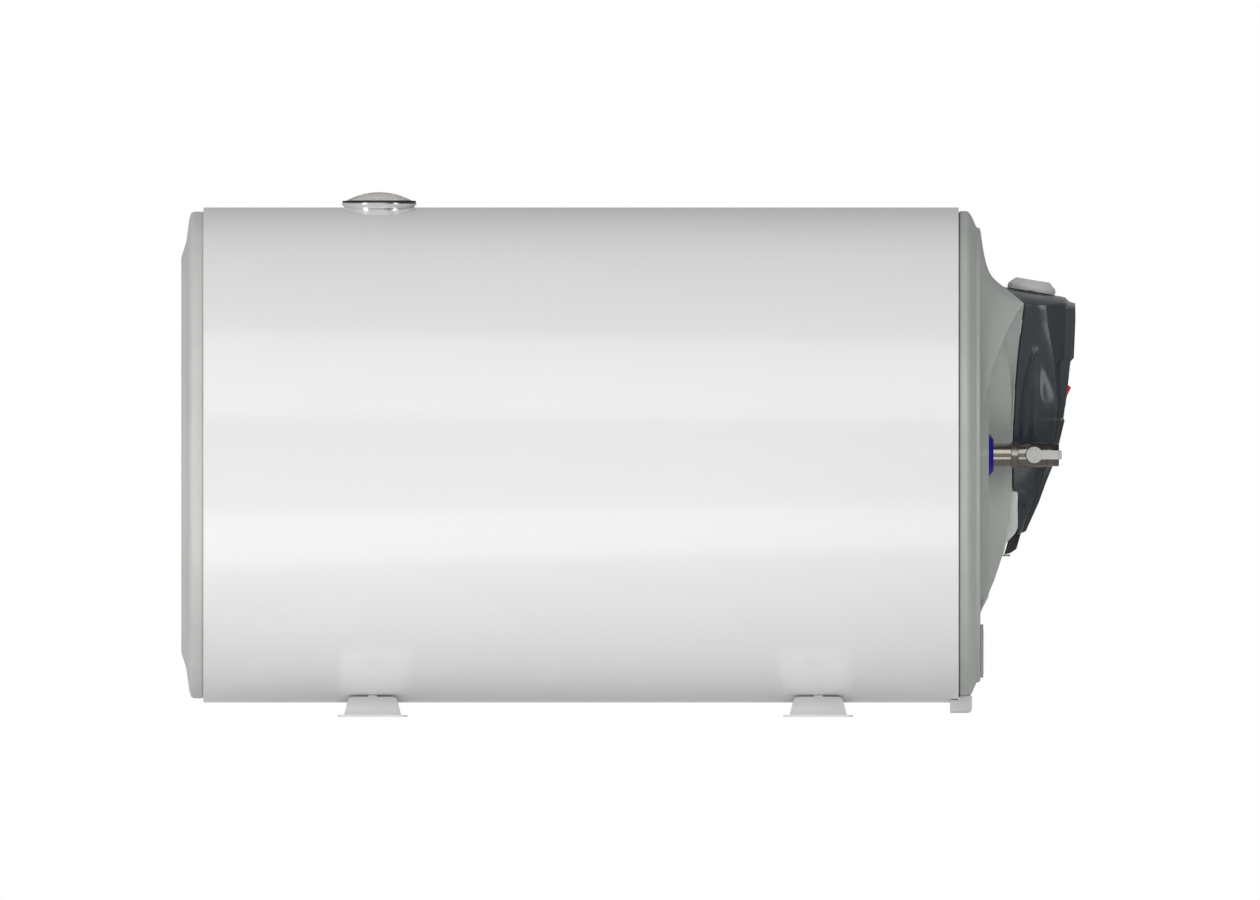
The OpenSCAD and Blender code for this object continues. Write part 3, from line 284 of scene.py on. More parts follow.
def moulded_group():
    """Fine moulding grain, faint flow clouding, and convex edges lightened partly for wear and partly as a painted
    highlight.
    """
    group, given, out = new_group(
        "moulded plastic",
        [("Place", "NodeSocketVector", (0, 0, 0)), ("Colour", "NodeSocketColor", (0.5, 0.5, 0.5, 1)),
         ("Grain Scale", "NodeSocketFloat", 1500.0), ("Clouding", "NodeSocketFloat", 0.05),
         ("Roughness", "NodeSocketFloat", 0.4), ("Edge Rub", "NodeSocketFloat", 0.3)],
        [("Colour", "NodeSocketColor"), ("Roughness", "NodeSocketFloat"), ("Height", "NodeSocketFloat")])
    b = Bench(group)
    place = given.outputs["Place"]
    clouds = b.noise(place, 9.0, 4.0, 0.6)
    grain = b.noise(place, given.outputs["Grain Scale"], 2.0)
    shade = b.maths("MULTIPLY", b.spread(clouds, 0.3, 0.7, -1.0, 1.0), given.outputs["Clouding"])
    # Convex edges found by pointiness are lightened: partly worn edges, partly a painted highlight along the
    # edges.
    edge = b.spread(b.node("ShaderNodeNewGeometry").outputs["Pointiness"], 0.52, 0.62)
    worn_edge_sheen_mask = b.maths("MULTIPLY", edge, given.outputs["Edge Rub"])
    worn_edge_sheen = b.maths("MULTIPLY", worn_edge_sheen_mask, b.spread(b.noise(place, 60.0), 0.35, 0.65))
    tone = b.maths("ADD", b.maths("ADD", 1.0, shade), worn_edge_sheen)
    toned = b.node("ShaderNodeVectorMath", operation="SCALE")
    b.join(given.outputs["Colour"], toned.inputs[0])
    b.join(tone, toned.inputs["Scale"])
    b.join(toned.outputs[0], out.inputs["Colour"])
    uneven = b.spread(b.noise(place, 24.0, 5.0, 0.65), 0.3, 0.7, -0.06, 0.06)
    rough = b.maths("ADD", given.outputs["Roughness"], uneven, clamp=True)
    b.join(b.maths("ADD", rough, b.maths("MULTIPLY", grain, 0.05)), out.inputs["Roughness"])
    b.join(grain, out.inputs["Height"])
    return group


def enamel_group():
    """Baked enamel: orange peel, very faint handling marks, dust where it faces up."""
    group, given, out = new_group(
        "baked enamel",
        [("Place", "NodeSocketVector", (0, 0, 0)), ("Colour", "NodeSocketColor", (0.8, 0.8, 0.8, 1)),
         ("Peel Scale", "NodeSocketFloat", 260.0), ("Dust", "NodeSocketFloat", 0.04),
         ("Roughness", "NodeSocketFloat", 0.25)],
        [("Colour", "NodeSocketColor"), ("Roughness", "NodeSocketFloat"), ("Height", "NodeSocketFloat")])
    b = Bench(group)
    place = given.outputs["Place"]
    peel = b.noise(place, given.outputs["Peel Scale"], 1.5, 0.4)
    drift = b.noise(b.stretched(place, (1.0, 2.5, 2.5)), 3.0, 3.0, 0.55)
    facing = b.node("ShaderNodeSeparateXYZ")
    b.join(b.node("ShaderNodeNewGeometry").outputs["Normal"], facing.inputs[0])
    upward = b.spread(facing.outputs["Z"], 0.75, 1.0)
    lying = b.maths("MULTIPLY", upward, b.spread(b.noise(place, 40.0, 6.0, 0.7), 0.45, 0.7))
    dust = b.maths("MULTIPLY", lying, given.outputs["Dust"])
    clean = b.node("ShaderNodeVectorMath", operation="SCALE")
    b.join(given.outputs["Colour"], clean.inputs[0])
    b.join(b.spread(drift, 0.3, 0.7, 0.99, 1.01), clean.inputs["Scale"])
    b.join(b.blend(dust, clean.outputs[0], (0.42, 0.39, 0.34, 1)), out.inputs["Colour"])
    smear = b.spread(b.noise(b.stretched(place, (1.0, 5.0, 5.0)), 7.0, 6.0, 0.7), 0.35, 0.75, -0.01, 0.02)
    handled = b.maths("ADD", given.outputs["Roughness"], smear)
    rough = b.maths("ADD", handled, b.maths("MULTIPLY", dust, 3.0), clamp=True)
    b.join(rough, out.inputs["Roughness"])
    b.join(peel, out.inputs["Height"])
    return group


def metal_group():
    """Turned or brushed metal: fine streaks along the grain, tarnish clouds."""
    group, given, out = new_group(
        "worked metal",
        [("Place", "NodeSocketVector", (0, 0, 0)), ("Colour", "NodeSocketColor", (0.6, 0.6, 0.6, 1)),
         ("Tarnish", "NodeSocketColor", (0.3, 0.25, 0.2, 1)), ("Tarnish Amount", "NodeSocketFloat", 0.3),
         ("Grain", "NodeSocketVector", (900.0, 60.0, 60.0)), ("Roughness", "NodeSocketFloat", 0.3)],
        [("Colour", "NodeSocketColor"), ("Roughness", "NodeSocketFloat"), ("Height", "NodeSocketFloat")])
    b = Bench(group)
    place = given.outputs["Place"]
    streak = b.noise(b.stretched(place, given.outputs["Grain"]), 1.0, 3.0, 0.6)
    clouds = b.spread(b.noise(place, 70.0, 5.0, 0.65), 0.38, 0.68)
    stain = b.maths("MULTIPLY", clouds, given.outputs["Tarnish Amount"])
    toned = b.node("ShaderNodeVectorMath", operation="SCALE")
    b.join(given.outputs["Colour"], toned.inputs[0])
    b.join(b.spread(streak, 0.25, 0.75, 0.9, 1.08), toned.inputs["Scale"])
    b.join(b.blend(stain, toned.outputs[0], given.outputs["Tarnish"]), out.inputs["Colour"])
    rough = b.maths("ADD", given.outputs["Roughness"], b.spread(streak, 0.25, 0.75, -0.06, 0.08))
    b.join(b.maths("ADD", rough, b.maths("MULTIPLY", stain, 0.3), clamp=True), out.inputs["Roughness"])
    b.join(streak, out.inputs["Height"])
    return group


GROUPS = {"plastic": moulded_group(), "enamel": enamel_group(), "metal": metal_group()}


def finish_of(name, kind, colour, rough, depth, metallic=0.0, coat=0.0, transmission=0.0, ior=1.5,
              **settings):
    """One finish: a worked surface from a shared group, its own colour, gloss and relief."""
    material = bpy.data.materials.new(name)
    material.use_nodes = True
    b = Bench(material.node_tree)
    skin = material.node_tree.nodes["Principled BSDF"]
    work = b.node("ShaderNodeGroup", node_tree=GROUPS[kind])
    b.join(b.node("ShaderNodeTexCoord").outputs["Object"], work.inputs["Place"])
    work.inputs["Colour"].default_value = (*colour, 1)
    work.inputs["Roughness"].default_value = rough
    for label, value in settings.items():
        work.inputs[label.replace("_", " ")].default_value = value
    b.join(work.outputs["Colour"], skin.inputs["Base Color"])
    b.join(work.outputs["Roughness"], skin.inputs["Roughness"])
    relief = b.node("ShaderNodeBump")
    relief.inputs["Distance"].default_value = depth * MM
    relief.inputs["Strength"].default_value = 1.0
    b.join(work.outputs["Height"], relief.inputs["Height"])
    b.join(relief.outputs["Normal"], skin.inputs["Normal"])
    skin.inputs["Metallic"].default_value = metallic
    skin.inputs["Coat Weight"].default_value = coat
    skin.inputs["Coat Roughness"].default_value = 0.1
    skin.inputs["Transmission Weight"].default_value = transmission
    skin.inputs["IOR"].default_value = ior
    return material


def plastic(name, colour, rough=0.42, depth=0.012, **more):
    return finish_of(name, "plastic", colour, rough, depth, **more)


def enamel(name, colour, rough=0.28, depth=0.01, **more):
    return finish_of(name, "enamel", colour, rough, depth, **more)


def metal(name, colour, rough=0.3, depth=0.006, **more):
    return finish_of(name, "metal", colour, rough, depth, metallic=1.0, **more)


FINISH = {
    "jacket_paint": enamel("jacket enamel", (0.845, 0.845, 0.85), rough=0.3, depth=0.002,
                           coat=0.7, Dust=0.008),
    "plain_cap_plastic": plastic("plain cap plastic", (0.6, 0.62, 0.59), rough=0.38),
    "service_cap_plastic": plastic("connection cap plastic", (0.46, 0.485, 0.455), rough=0.36),
    # The hood's convex edges are lightened strongly: some wear, mostly a painted highlight along its edges.
    "hood_plastic": plastic("hood plastic", (0.041, 0.051, 0.058), rough=0.22, depth=0.002,
                            coat=0.3, Edge_Rub=0.9),
    "base_plastic": plastic("hood base plastic", (0.7, 0.72, 0.69), rough=0.38),
    "knob_plastic": plastic("knob plastic", (0.6, 0.6, 0.61), rough=0.3),
    "rocker_red": plastic("rocker red", (0.9, 0.012, 0.008), rough=0.24, depth=0.004),
    "black_plastic": plastic("black plastic", (0.02, 0.021, 0.023), rough=0.45),
    "inner_plastic": plastic("ivory plastic", (0.75, 0.71, 0.58), rough=0.45),
    "white_seal": plastic("seal plastic", (0.82, 0.82, 0.78), rough=0.5),
    "cold_blue": plastic("cold blue plastic", (0.009, 0.006, 0.3), rough=0.4),
    "hot_red": plastic("hot red plastic", (0.42, 0.015, 0.012), rough=0.4),
    "nickel": metal("plated brass", (0.38, 0.355, 0.32), rough=0.15, Grain=(1400.0, 40.0, 40.0),
                    Tarnish=(0.3, 0.24, 0.18, 1), Tarnish_Amount=0.12),
    "pipe_metal": metal("plated pipe", (0.42, 0.385, 0.34), rough=0.12, depth=0.003,
                        Grain=(1600.0, 30.0, 30.0), Tarnish=(0.34, 0.27, 0.2, 1), Tarnish_Amount=0.12),
    "lever_grey": plastic("lever lacquer", (0.56, 0.56, 0.55), rough=0.35, depth=0.008),
    "tank_steel": enamel("tank enamel", (0.06, 0.1, 0.15), rough=0.3),
    "steel": metal("bright steel", (0.56, 0.56, 0.57), rough=0.34),
    "bracket_paint": enamel("bracket enamel", (0.8, 0.8, 0.8), rough=0.34, depth=0.02, Peel_Scale=500.0),
    "rubber_black": plastic("rubber", (0.018, 0.018, 0.018), rough=0.75, depth=0.03),
    "copper": metal("copper", (0.78, 0.36, 0.2), rough=0.35),
    "anode_metal": metal("anode metal", (0.5, 0.5, 0.48), rough=0.55, Tarnish_Amount=0.7),
    "foam": plastic("foam", (0.72, 0.55, 0.26), rough=0.9, depth=0.6, Grain_Scale=300.0, Clouding=0.14),
    "bezel_metal": metal("bright bezel", (0.92, 0.93, 0.93), rough=0.16, depth=0.002, Tarnish_Amount=0.05),
    "dial_print": plastic("dial card", (0.82, 0.82, 0.8), rough=0.5, depth=0.004),
    "lens_clear": plastic("lens", (0.985, 0.975, 0.95), rough=0.05, depth=0.0004,
                          transmission=0.8, ior=1.46, Clouding=0.02),
    "lead_insulation": plastic("lead insulation", (0.2, 0.12, 0.08), rough=0.5),
    "plate_grey": plastic("plate grey", (0.42, 0.44, 0.42), rough=0.4),
}


def fit_out(obj, body, slot, *nodes):
    """Gives a piece its finish, its body and its slot, and hides the CAD nodes that it stands for."""
    obj.data.materials.clear()
    obj.data.materials.append(FINISH[slot])
    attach(obj, body)
    if nodes:
        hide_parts(*nodes)
    return obj


def dress_cad_nodes():
    """Every CAD node that stays gets the finish of its slot."""
    for part in frame["record"]["subparts"]:
        mesh = frame["nodes"][part["node"]].data
        mesh.materials.clear()
        mesh.materials.append(FINISH[part["material_slot"]])


def soften(node, width, steps=2):
    """Rounds the edges of a CAD node that stays in view."""
    obj = frame["nodes"][node]
    obj.data.shade_smooth()
    merger = obj.modifiers.new("joined corners", "WELD")
    merger.merge_threshold = 1e-6
    flattener = obj.modifiers.new("whole faces", "DECIMATE")
    flattener.decimate_type = "DISSOLVE"
    flattener.angle_limit = math.radians(0.6)
    round_edges(obj, width, steps)


dress_cad_nodes()


# ---------------------------------------------------------------- jacket and caps
def jacket():
    """The painted sheet, with a small roll at each end."""
    wall = 0.8
    roll = 1.6
    x0, x1, r = JACKET_X0 + 0.25, JACKET_X1 - 0.25, JACKET_R
    section = [(r - roll - 0.6, x0), (r - roll, x0), (r, x0), (r, x1), (r - roll, x1), (r - roll - 0.6, x1),
               (r - roll - 0.6, x1 - 1), (r - wall, x1 - 3), (r - wall, x0 + 3), (r - roll - 0.6, x0 + 1)]
    obj = turned("jacket_shell", eased(section, 1.1, closed=True), along_x(0), segments=256)
    fit_out(obj, "heater", "jacket_paint", "jacket")


def jacket_seam():
    """The lock seam of the rolled sheet, on the side that faces the wall."""
    angle = math.radians(-72)
    half = 5.0
    rows = []
    for x in (JACKET_X0 + 4, JACKET_X1 - 4):
        row = []
        for u, rise in ((-half, -0.3), (-half + 0.8, 0.35), (-1, 0.8),
                        (1, 0.8), (half - 0.8, 0.35), (half, -0.3)):
            a = angle + u / JACKET_R
            r = JACKET_R + rise
            row.append((x, r * math.cos(a), AXIS_Z + r * math.sin(a)))
        rows.append(row)
    verts, faces = woven(rows, wrap_columns=True)
    n = len(rows[0])
    faces += [tuple(range(n)), tuple(range(2 * n - 1, n - 1, -1))]
    fit_out(piece("jacket_seam", verts, faces, crease=50), "heater", "jacket_paint")


def plain_cap():
    """Moulded cap with a raised ring and a slightly hollow middle, as one closed section."""
    x = JACKET_X0
    r = PLAIN_R
    section = [(r - 2.2, x + 10), (JACKET_R - 1.1, x + 10), (JACKET_R - 1.1, x + 0.6), (r - 1.0, x - 0.2),
               (r, x - 1.0), (r, x - 8.0), (r - 1.0, x - 10.6), (r - 3.3, x - 11.8), (r - 4.4, x - 11.4),
               (r - 5.4, x - 12.4), (194, x - 15.3), (179.6, x - 19.9), (171, x - 19.9), (168.5, x - 18.9),
               (120, x - 18.5)]
    section += [(ring, x - 18.3 - 0.2 * ring / 120) for ring in (84, 56, 34, 18, 8, 3, 1, 0.05)]
    back = [(0.05, x - 16.0), (168, x - 16.4), (179.0, x - 17.5), (193.0, x - 13.2), (r - 4.0, x - 9.6),
            (r - 2.2, x - 7.0)]
    obj = turned("plain_cap", eased(section + back, 1.5, closed=True), along_x(0), segments=256, crease=40)
    fit_out(obj, "heater", "plain_cap_plastic", "plain_end_cap")


HORN_ANGLE = 29.0
HORN_R = 156.0
FLARE_R = 204.0
HORN_RISE = 39.5
DIP_RISE = 15.0


def crest_rise(degrees):
    """How far the flare's crest stands out, by the angle from straight up."""
    a = abs(degrees)
    if a <= HORN_ANGLE:
        share = math.sin(math.radians(a)) / math.sin(math.radians(HORN_ANGLE))
        return DIP_RISE + (HORN_RISE - DIP_RISE) * share ** 2
    if a < 85:
        return HORN_RISE * ((85 - a) / 56) ** 1.5
    return 0.0


def connection_cap():
    """Rim, two-horned flare, face and pipe shelf as one moulded skin; its section changes with the angle."""
    rim = eased([(CAP_R - 2.0, JACKET_X1 - 8), (CAP_R - 2.0, JACKET_X1 - 0.4),
                 (CAP_R - 1.0, JACKET_X1 + 0.2), (CAP_R, JACKET_X1 + 1.0), (CAP_R, FACE_X - 12.5),
                 (CAP_R - 1.6, FACE_X - 10.1), (CAP_R - 5.4, FACE_X - 7.7), (CAP_R - 14.8, FACE_X - 3.6),
                 (CAP_R - 15.5, FACE_X - 0.7), (FLARE_R, FACE_X)], 0.8)
    turns = 360
    steps = 18
    lip = 1.6
    shelf = FACE_X + 7.6
    sections = []
    for k in range(turns):
        degrees = 360 * k / turns
        offset = min(degrees, 360 - degrees)
        s, c = math.sin(math.radians(degrees)), math.cos(math.radians(degrees))
        rise = crest_rise(offset)
        line = list(rim)
        for i in range(1, steps + 1):
            t = i / steps
            r = lerp(FLARE_R, HORN_R + lip, t)
            line.append((r, FACE_X + rise * (0.45 * t + 0.55 * t ** 6)))
        edge = min(lip, rise * 0.4)
        line += [(HORN_R + 0.2, FACE_X + rise),
                 (HORN_R - edge * 0.5, FACE_X + rise - edge * 0.35),
                 (HORN_R - edge, FACE_X + rise * 0.85 - edge * 0.3),
                 (HORN_R - 3.5, FACE_X + rise * 0.22), (HORN_R - 8, FACE_X + rise * 0.03),
                 (143, FACE_X), (128.8, FACE_X + 7.2), (127, shelf), (0.05, shelf)]
        sections.append([(x, -r * s, AXIS_Z + r * c) for r, x in line])
    obj = piece("connection_cap_moulding", *woven(list(zip(*sections)), wrap_columns=True), crease=42)
    fit_out(obj, "heater", "service_cap_plastic", "connection_cap")


PEDESTAL_LINE = [(0, -143.6), (12.7, -113.6), (19.7, -92.2), (24.8, -66.7), (27.4, -46.3),
                 (28.4, -28.5), (28.6, 11), (31.2, 62.7), (33.9, 94), (36.5, 115), (39.2, 134), (39.6, 141)]
CREASE_LINE = [(8, -120), (20.5, -46), (27.2, 12), (28.2, 52), (26.2, 80), (22.3, 104), (27, 122),
               (33, 138)]


def pedestal():
    """The raised back under the hood, with scooped sides."""
    half = 70.0
    recess_r = 153
    levels, scoop_steps = 56, 8
    rows = []
    for k in range(levels + 1):
        dz = lerp(-143, 137, k / levels)
        top = along(PEDESTAL_LINE, dz)
        edge = min(top - 1.5, along(CREASE_LINE, dz))
        w = half if dz > 0 else max(4.0, half * math.sqrt(max(0.0, 1 - (dz / 150) ** 2)))
        room = math.sqrt(max(0.0, recess_r ** 2 - dz ** 2)) - w
        shoulder = max(0.4, min(2 + 13 * smooth((dz - 10) / 50), room))
        scoop = 3 + 16 * smooth((dz - 24) / 60) + 8 * smooth((-dz - 24) / 60)
        foot = max(shoulder, min(shoulder + scoop, room))
        low = min(3.0, edge - 1.0)
        line = [(low, w + foot)]
        for i in range(1, scoop_steps + 1):
            t = i / scoop_steps
            line.append((lerp(low, edge, t), w + shoulder + (foot - shoulder) * (1 - t) ** 2))
        line += [(lerp(edge, top, 0.5), w + shoulder * 0.42), (top - 0.8, w + 0.3), (top, w - 0.8)]
        row = [(FACE_X + x, -y, AXIS_Z + dz) for x, y in line]
        row += [(FACE_X + x, y, AXIS_Z + dz) for x, y in reversed(line)]
        rows.append(row)
    verts, faces = woven(rows)
    n = len(rows[0])
    faces += [tuple(range(n)), tuple(range(len(verts) - 1, len(verts) - n - 1, -1))]
    obj = piece("pedestal", verts, faces, crease=24)
    fit_out(obj, "heater", "service_cap_plastic")


# ---------------------------------------------------------------- control hood
HOOD_FOOT = -72.4
HOOD_FRONT = [(34.4, HOOD_FOOT), (36.9, -72.0), (40.8, -70.5), (45.3, -60.4), (52.9, -43.7), (59.3, -25.9),
              (65, -11.8), (71.4, 9.8), (76.6, 31.6), (75.5, 33.1), (80, 67.2), (81.8, 84.6), (85, 88.3),
              (86.4, 122.7), (86.3, 141)]
HOOD_BACK = [(33.8, HOOD_FOOT), (33.8, -34), (28.8, -32.6), (28.8, 11), (31.4, 62.7), (34.1, 94), (36.7, 115),
             (39.4, 134), (39.9, 141)]
HOOD_CREASE = [(36, -72), (45.2, -48), (57, -10), (66, 8), (68.6, 20), (69.8, 50), (67.5, 80), (64.5, 100),
               (61.3, 120), (60, 141)]
LOBE_LEFT = [(42, -20), (38, 10), (37.4, 30), (39, 52), (43.5, 76), (49.5, 101)]
SLOPE = 9.8 / 59.1
TOP_X, TOP_Z = 76.9, 143.6
TOP_STEP = [(76.9, 143.6), (79.9, 139.8), (86.4, 137.8)]
CROWN_R = 210.0
CORNER_X = 17.8
HOOD_HALF = 69.0


def hood_half(dz):
    """Half the hood's width at one height: it narrows towards the foot."""
    s = max(0.0, (60 - dz) / 134)
    return HOOD_HALF * math.sqrt(max(0.18, 1 - 0.82 * s ** 2.2))


def top_of_hood(x, y):
    """Height of the crowned knob face, which steps down just before the front."""
    step = along(TOP_STEP, x, column=0) if x > TOP_X else TOP_Z + (TOP_X - x) * SLOPE
    return step - (CROWN_R - math.sqrt(CROWN_R ** 2 - y * y))


def lobe(x, dz, left, crease):
    """Swelling of the hood's side: a bead on its left edge, a slanting top, a long fall to the crease."""
    start = 101 - 2.3 * (x - 50)
    fall = 1 - 0.8 * smooth((x - left - 6) / (crease - left))
    over = smooth((x - left) / 17) * fall * min(1.0, (crease - x) / 5)
    bead = 1.7 * math.exp(-((x - left - 1) / 2.2) ** 2) * smooth((101 - dz) / 8)
    return (4.5 * over * smooth((start - dz) / 42) + bead) * smooth((dz + 24) / 40)


def hood_section(dz):
    """Half section of the hood at one height, from its back edge round to the middle of its front."""
    w = hood_half(dz)
    back, front = along(HOOD_BACK, dz), along(HOOD_FRONT, dz)
    depth = front - back
    crease = min(max(along(HOOD_CREASE, dz), back + 0.35 * depth), front - 0.16 * depth)
    strip = min(9.0, 0.1 * depth + 4.2)
    strip_x = max(front - strip, crease + 0.35 * (front - crease))
    left = min(max(along(LOBE_LEFT, dz), back + 2), crease - 3)
    keel_half = 0.5 + 0.3 * max(0.0, min(30.0, 36 - dz))
    side_steps, chamfer_steps = 24, 6
    line = [(back, w - 2.5), (back + 0.6, w - 0.8), (back + 1.6, w)]
    for i in range(1, side_steps + 1):
        t = i / side_steps
        x = lerp(back + 1.6, crease, t)
        keel = 1.3 * max(0.0, 1 - abs(x - 49) / keel_half) * smooth((36 - dz) / 10) * smooth((dz + 50) / 30)
        line.append((x, w - 5.0 * t * t + lobe(x, dz, left, crease) + keel * min(1.0, (1 - t) * 6)))
    for i in range(1, chamfer_steps + 1):
        t = i / chamfer_steps
        line.append((lerp(crease, strip_x, t), lerp(w - 5.0, w * 0.74, t)))
    line += [(lerp(strip_x, front, 0.4), w * 0.733), (front - 1.2, w * 0.722), (front - 0.4, w * 0.70)]
    line += [(front, w * 0.67), (front, w * 0.3), (front, 0.0)]
    return line


def hood():
    """Side skin in level rows that end at the crowned top face, then the top face across."""
    levels = [lerp(HOOD_FOOT, 30, k / 34) for k in range(35)] + [31.6, 33.1]
    levels += [lerp(36, 83, k / 16) for k in range(17)] + [84.6, 88.3]
    levels += [lerp(91, 132, k / 16) for k in range(17)]
    rows = [hood_section(dz) for dz in levels]
    top = []
    for j in range(len(rows[0])):
        dz = 137.0
        for _ in range(6):
            x, y = hood_section(min(dz, 137.0))[j]
            dz = top_of_hood(x, y)
        top.append((x, y, dz))
    skin = []
    for dz, row in zip(levels, rows):
        bend = smooth((dz - 110) / 22)
        skin.append([(x, y, min(dz, lerp(dz, z - 1.2, bend))) for (x, y), (_, _, z) in zip(row, top)])
    skin.append([(x, y, z - 0.9) for x, y, z in top])
    skin.append([(x - 0.2 * (x > 70), y * 0.998, z - 0.35) for x, y, z in top])
    rim = [(lerp(x, 60, 0.012), y * 0.985, z - 0.02) for x, y, z in top]
    skin.append(rim)
    both = []
    for row in skin:
        half = [(FACE_X + x, -y, AXIS_Z + z) for x, y, z in row]
        both.append(half + [(px, -py, pz) for px, py, pz in reversed(half[:-1])])
    verts, faces = woven(both)
    n = len(both[0])
    base = len(verts) - n
    across = 18
    ladder = []
    for j in range(len(rim)):
        left, right = base + j, base + n - 1 - j
        x, y, _ = rim[j]
        rung = [left]
        if y > 0.01:
            for i in range(1, across):
                yy = lerp(-y, y, i / across)
                verts.append((FACE_X + x, yy, AXIS_Z + top_of_hood(x, yy) - 0.02))
                rung.append(len(verts) - 1)
        else:
            rung += [left] * (across - 1)
        rung.append(right)
        ladder.append(rung)
    for a, b in zip(ladder, ladder[1:]):
        for i in range(across):
            face = []
            for v in (a[i], a[i + 1], b[i + 1], b[i]):
                if v not in face:
                    face.append(v)
            if len(face) > 2:
                faces.append(tuple(face))
    obj = piece("hood_shell", verts, faces, crease=26)
    fit_out(obj, "heater", "hood_plastic", "control_hood")


def hood_tongue():
    """The narrow part of the knob face that runs back between the horns to the cap."""
    lengths, across = 14, 18
    rows = []
    for k in range(lengths + 1):
        t = k / lengths
        x = lerp(CORNER_X, 41.5, t)
        w = lerp(14, 66, math.sin(t * QUARTER) ** 0.8)
        thick = lerp(2.6, 16, t)
        row = []
        for i in range(across + 1):
            y = lerp(-w, w, i / across)
            row.append((FACE_X + x, y, AXIS_Z + top_of_hood(x, y) - 0.05))
        for i in range(across + 1):
            y = lerp(w, -w, i / across)
            row.append((FACE_X + x, y * 0.99, AXIS_Z + top_of_hood(x, y) - thick))
        rows.append(row)
    verts, faces = woven(rows, wrap_columns=True)
    n = len(rows[0])
    faces += [tuple(range(n)), tuple(range(len(verts) - 1, len(verts) - n - 1, -1))]
    obj = piece("hood_tongue", verts, faces, crease=40)
    fit_out(obj, "heater", "hood_plastic")


def latches():
    """Snap latches at each side of the hood: a black plate painted as the shade of a small window, and a light
    tab.
    """
    x, dz = 39.6, -45.0
    w = along(sorted(hood_section(dz)), x, column=0)
    # The black plate stands proud of the hood's side and paints the shade of a window recess.
    pocket = [(x - 1.6, dz + 2.6), (x - 1.9, dz - 0.4), (x - 0.4, dz - 3.6), (x + 0.6, dz - 3.4),
              (x + 1.9, dz + 2.6)]
    tab = [(x - 1.7, dz + 3.0), (x + 1.9, dz + 3.0), (x + 1.9, dz + 4.6), (x - 1.7, dz + 4.6)]
    for side, name in ((-1, "near"), (1, "far")):
        place = towards_viewer(FACE_X, side * (w - 0.5), AXIS_Z)
        low, high = (0, 0.95) if side < 0 else (-0.95, 0)
        for kind, outline, slot in (("pocket", pocket, "black_plastic"), ("tab", tab, "base_plastic")):
            plate = slab(f"latch_{kind}_{name}", outline, low, high, place, round_off=0.15, steps=1)
            fit_out(plate, "heater", slot)


TILT = math.atan(SLOPE)
KNOB_AT = [joint for joint in frame["joints"] if joint["name"] == "knob_turn"][0]
KNOB_PLACE = Matrix.Translation(Vector(KNOB_AT["pos_m"])) @ Matrix.Rotation(TILT, 4, "Y")


def knob():
    """The knob with its pointer rib and grip ribs, on a ring seat in the hood's top face."""
    ring = eased([(19, -2.4), (21.7, -2.4), (21.7, 0.15), (21.2, 0.4), (19, 0.4)], 0.2, closed=True)
    fit_out(turned("knob_seat", ring, KNOB_PLACE), "heater", "hood_plastic")
    section = [(3.2, 0.6), (20.2, 0.6), (21.8, 0.5), (22, 1.0), (22, 3.4), (21.1, 5.4), (16, 9.9),
               (14.6, 10.5), (13.2, 10.35), (0.05, 9.9), (0.05, 8.4), (3.2, 8.4)]
    cap = turned("knob_cap", eased(section, 0.9, closed=True), KNOB_PLACE, segments=160)
    fit_out(cap, "thermostat_knob", "knob_plastic", "thermostat_knob")
    outline = [(13.5, 9.6), (15.0, 10.7), (16.4, 10.2), (21.5, 5.8), (22.4, 3.9), (22.4, 1.0), (21.6, 0.8),
               (20.5, 3.0)]
    for number, (degrees, width) in enumerate(((200, 3.0), (214, 0.7), (222, 0.7), (20, 0.7), (34, 0.7))):
        turn = KNOB_PLACE @ Matrix.Rotation(math.radians(degrees), 4, "Z")
        stand = turn @ Matrix.Rotation(QUARTER, 4, "X")
        rib = slab(f"knob_rib_{number}", outline, -width / 2, width / 2, stand, round_off=0.25, steps=2)
        fit_out(rib, "thermostat_knob", "knob_plastic")


def rocker():
    """Curved paddle of the switch, standing out at its upper end."""
    lean = math.radians(97)
    panel = upright(FACE_X + 78.1, 0, AXIS_Z + 54.5) @ Matrix.Rotation(lean, 4, "Y")
    place = panel @ Matrix.Rotation(QUARTER, 4, "X")
    outline = eased([(-9.2, 0.2), (-7.6, 3.5), (-3.4, 2.0), (0, 0.95), (4.5, 0.25), (9.3, 0), (9.2, -3),
                     (2, -6.5), (-2, -6.5), (-9.4, -1.5)], 0.8, steps=3, closed=True)
    paddle = slab("rocker_paddle", outline, -5.5, 5.5, place, round_off=0.5)
    fit_out(paddle, "power_rocker", "rocker_red", "switch_rocker")


# ---------------------------------------------------------------- pipes and valve
def collars():
    """Blue ring on the cold pipe, red ring on the hot one."""
    x = FACE_X + 7.6
    section = eased([(PIPE_R + 0.1, 0), (19.5, 0), (19.5, 0.4), (18.3, 1.2), (16.1, 3.0), (14.2, 4.3),
                     (11.4, 4.3), (PIPE_R + 0.1, 3.8)], 0.35, steps=3, closed=True)
    for name, side, slot, node in (("collar_blue", -1, "cold_blue", "cold_collar"),
                                   ("collar_red", 1, "hot_red", "hot_collar")):
        fit_out(turned(name, section, along_x(x, side * PIPE_Y), segments=96), "heater", slot, node)


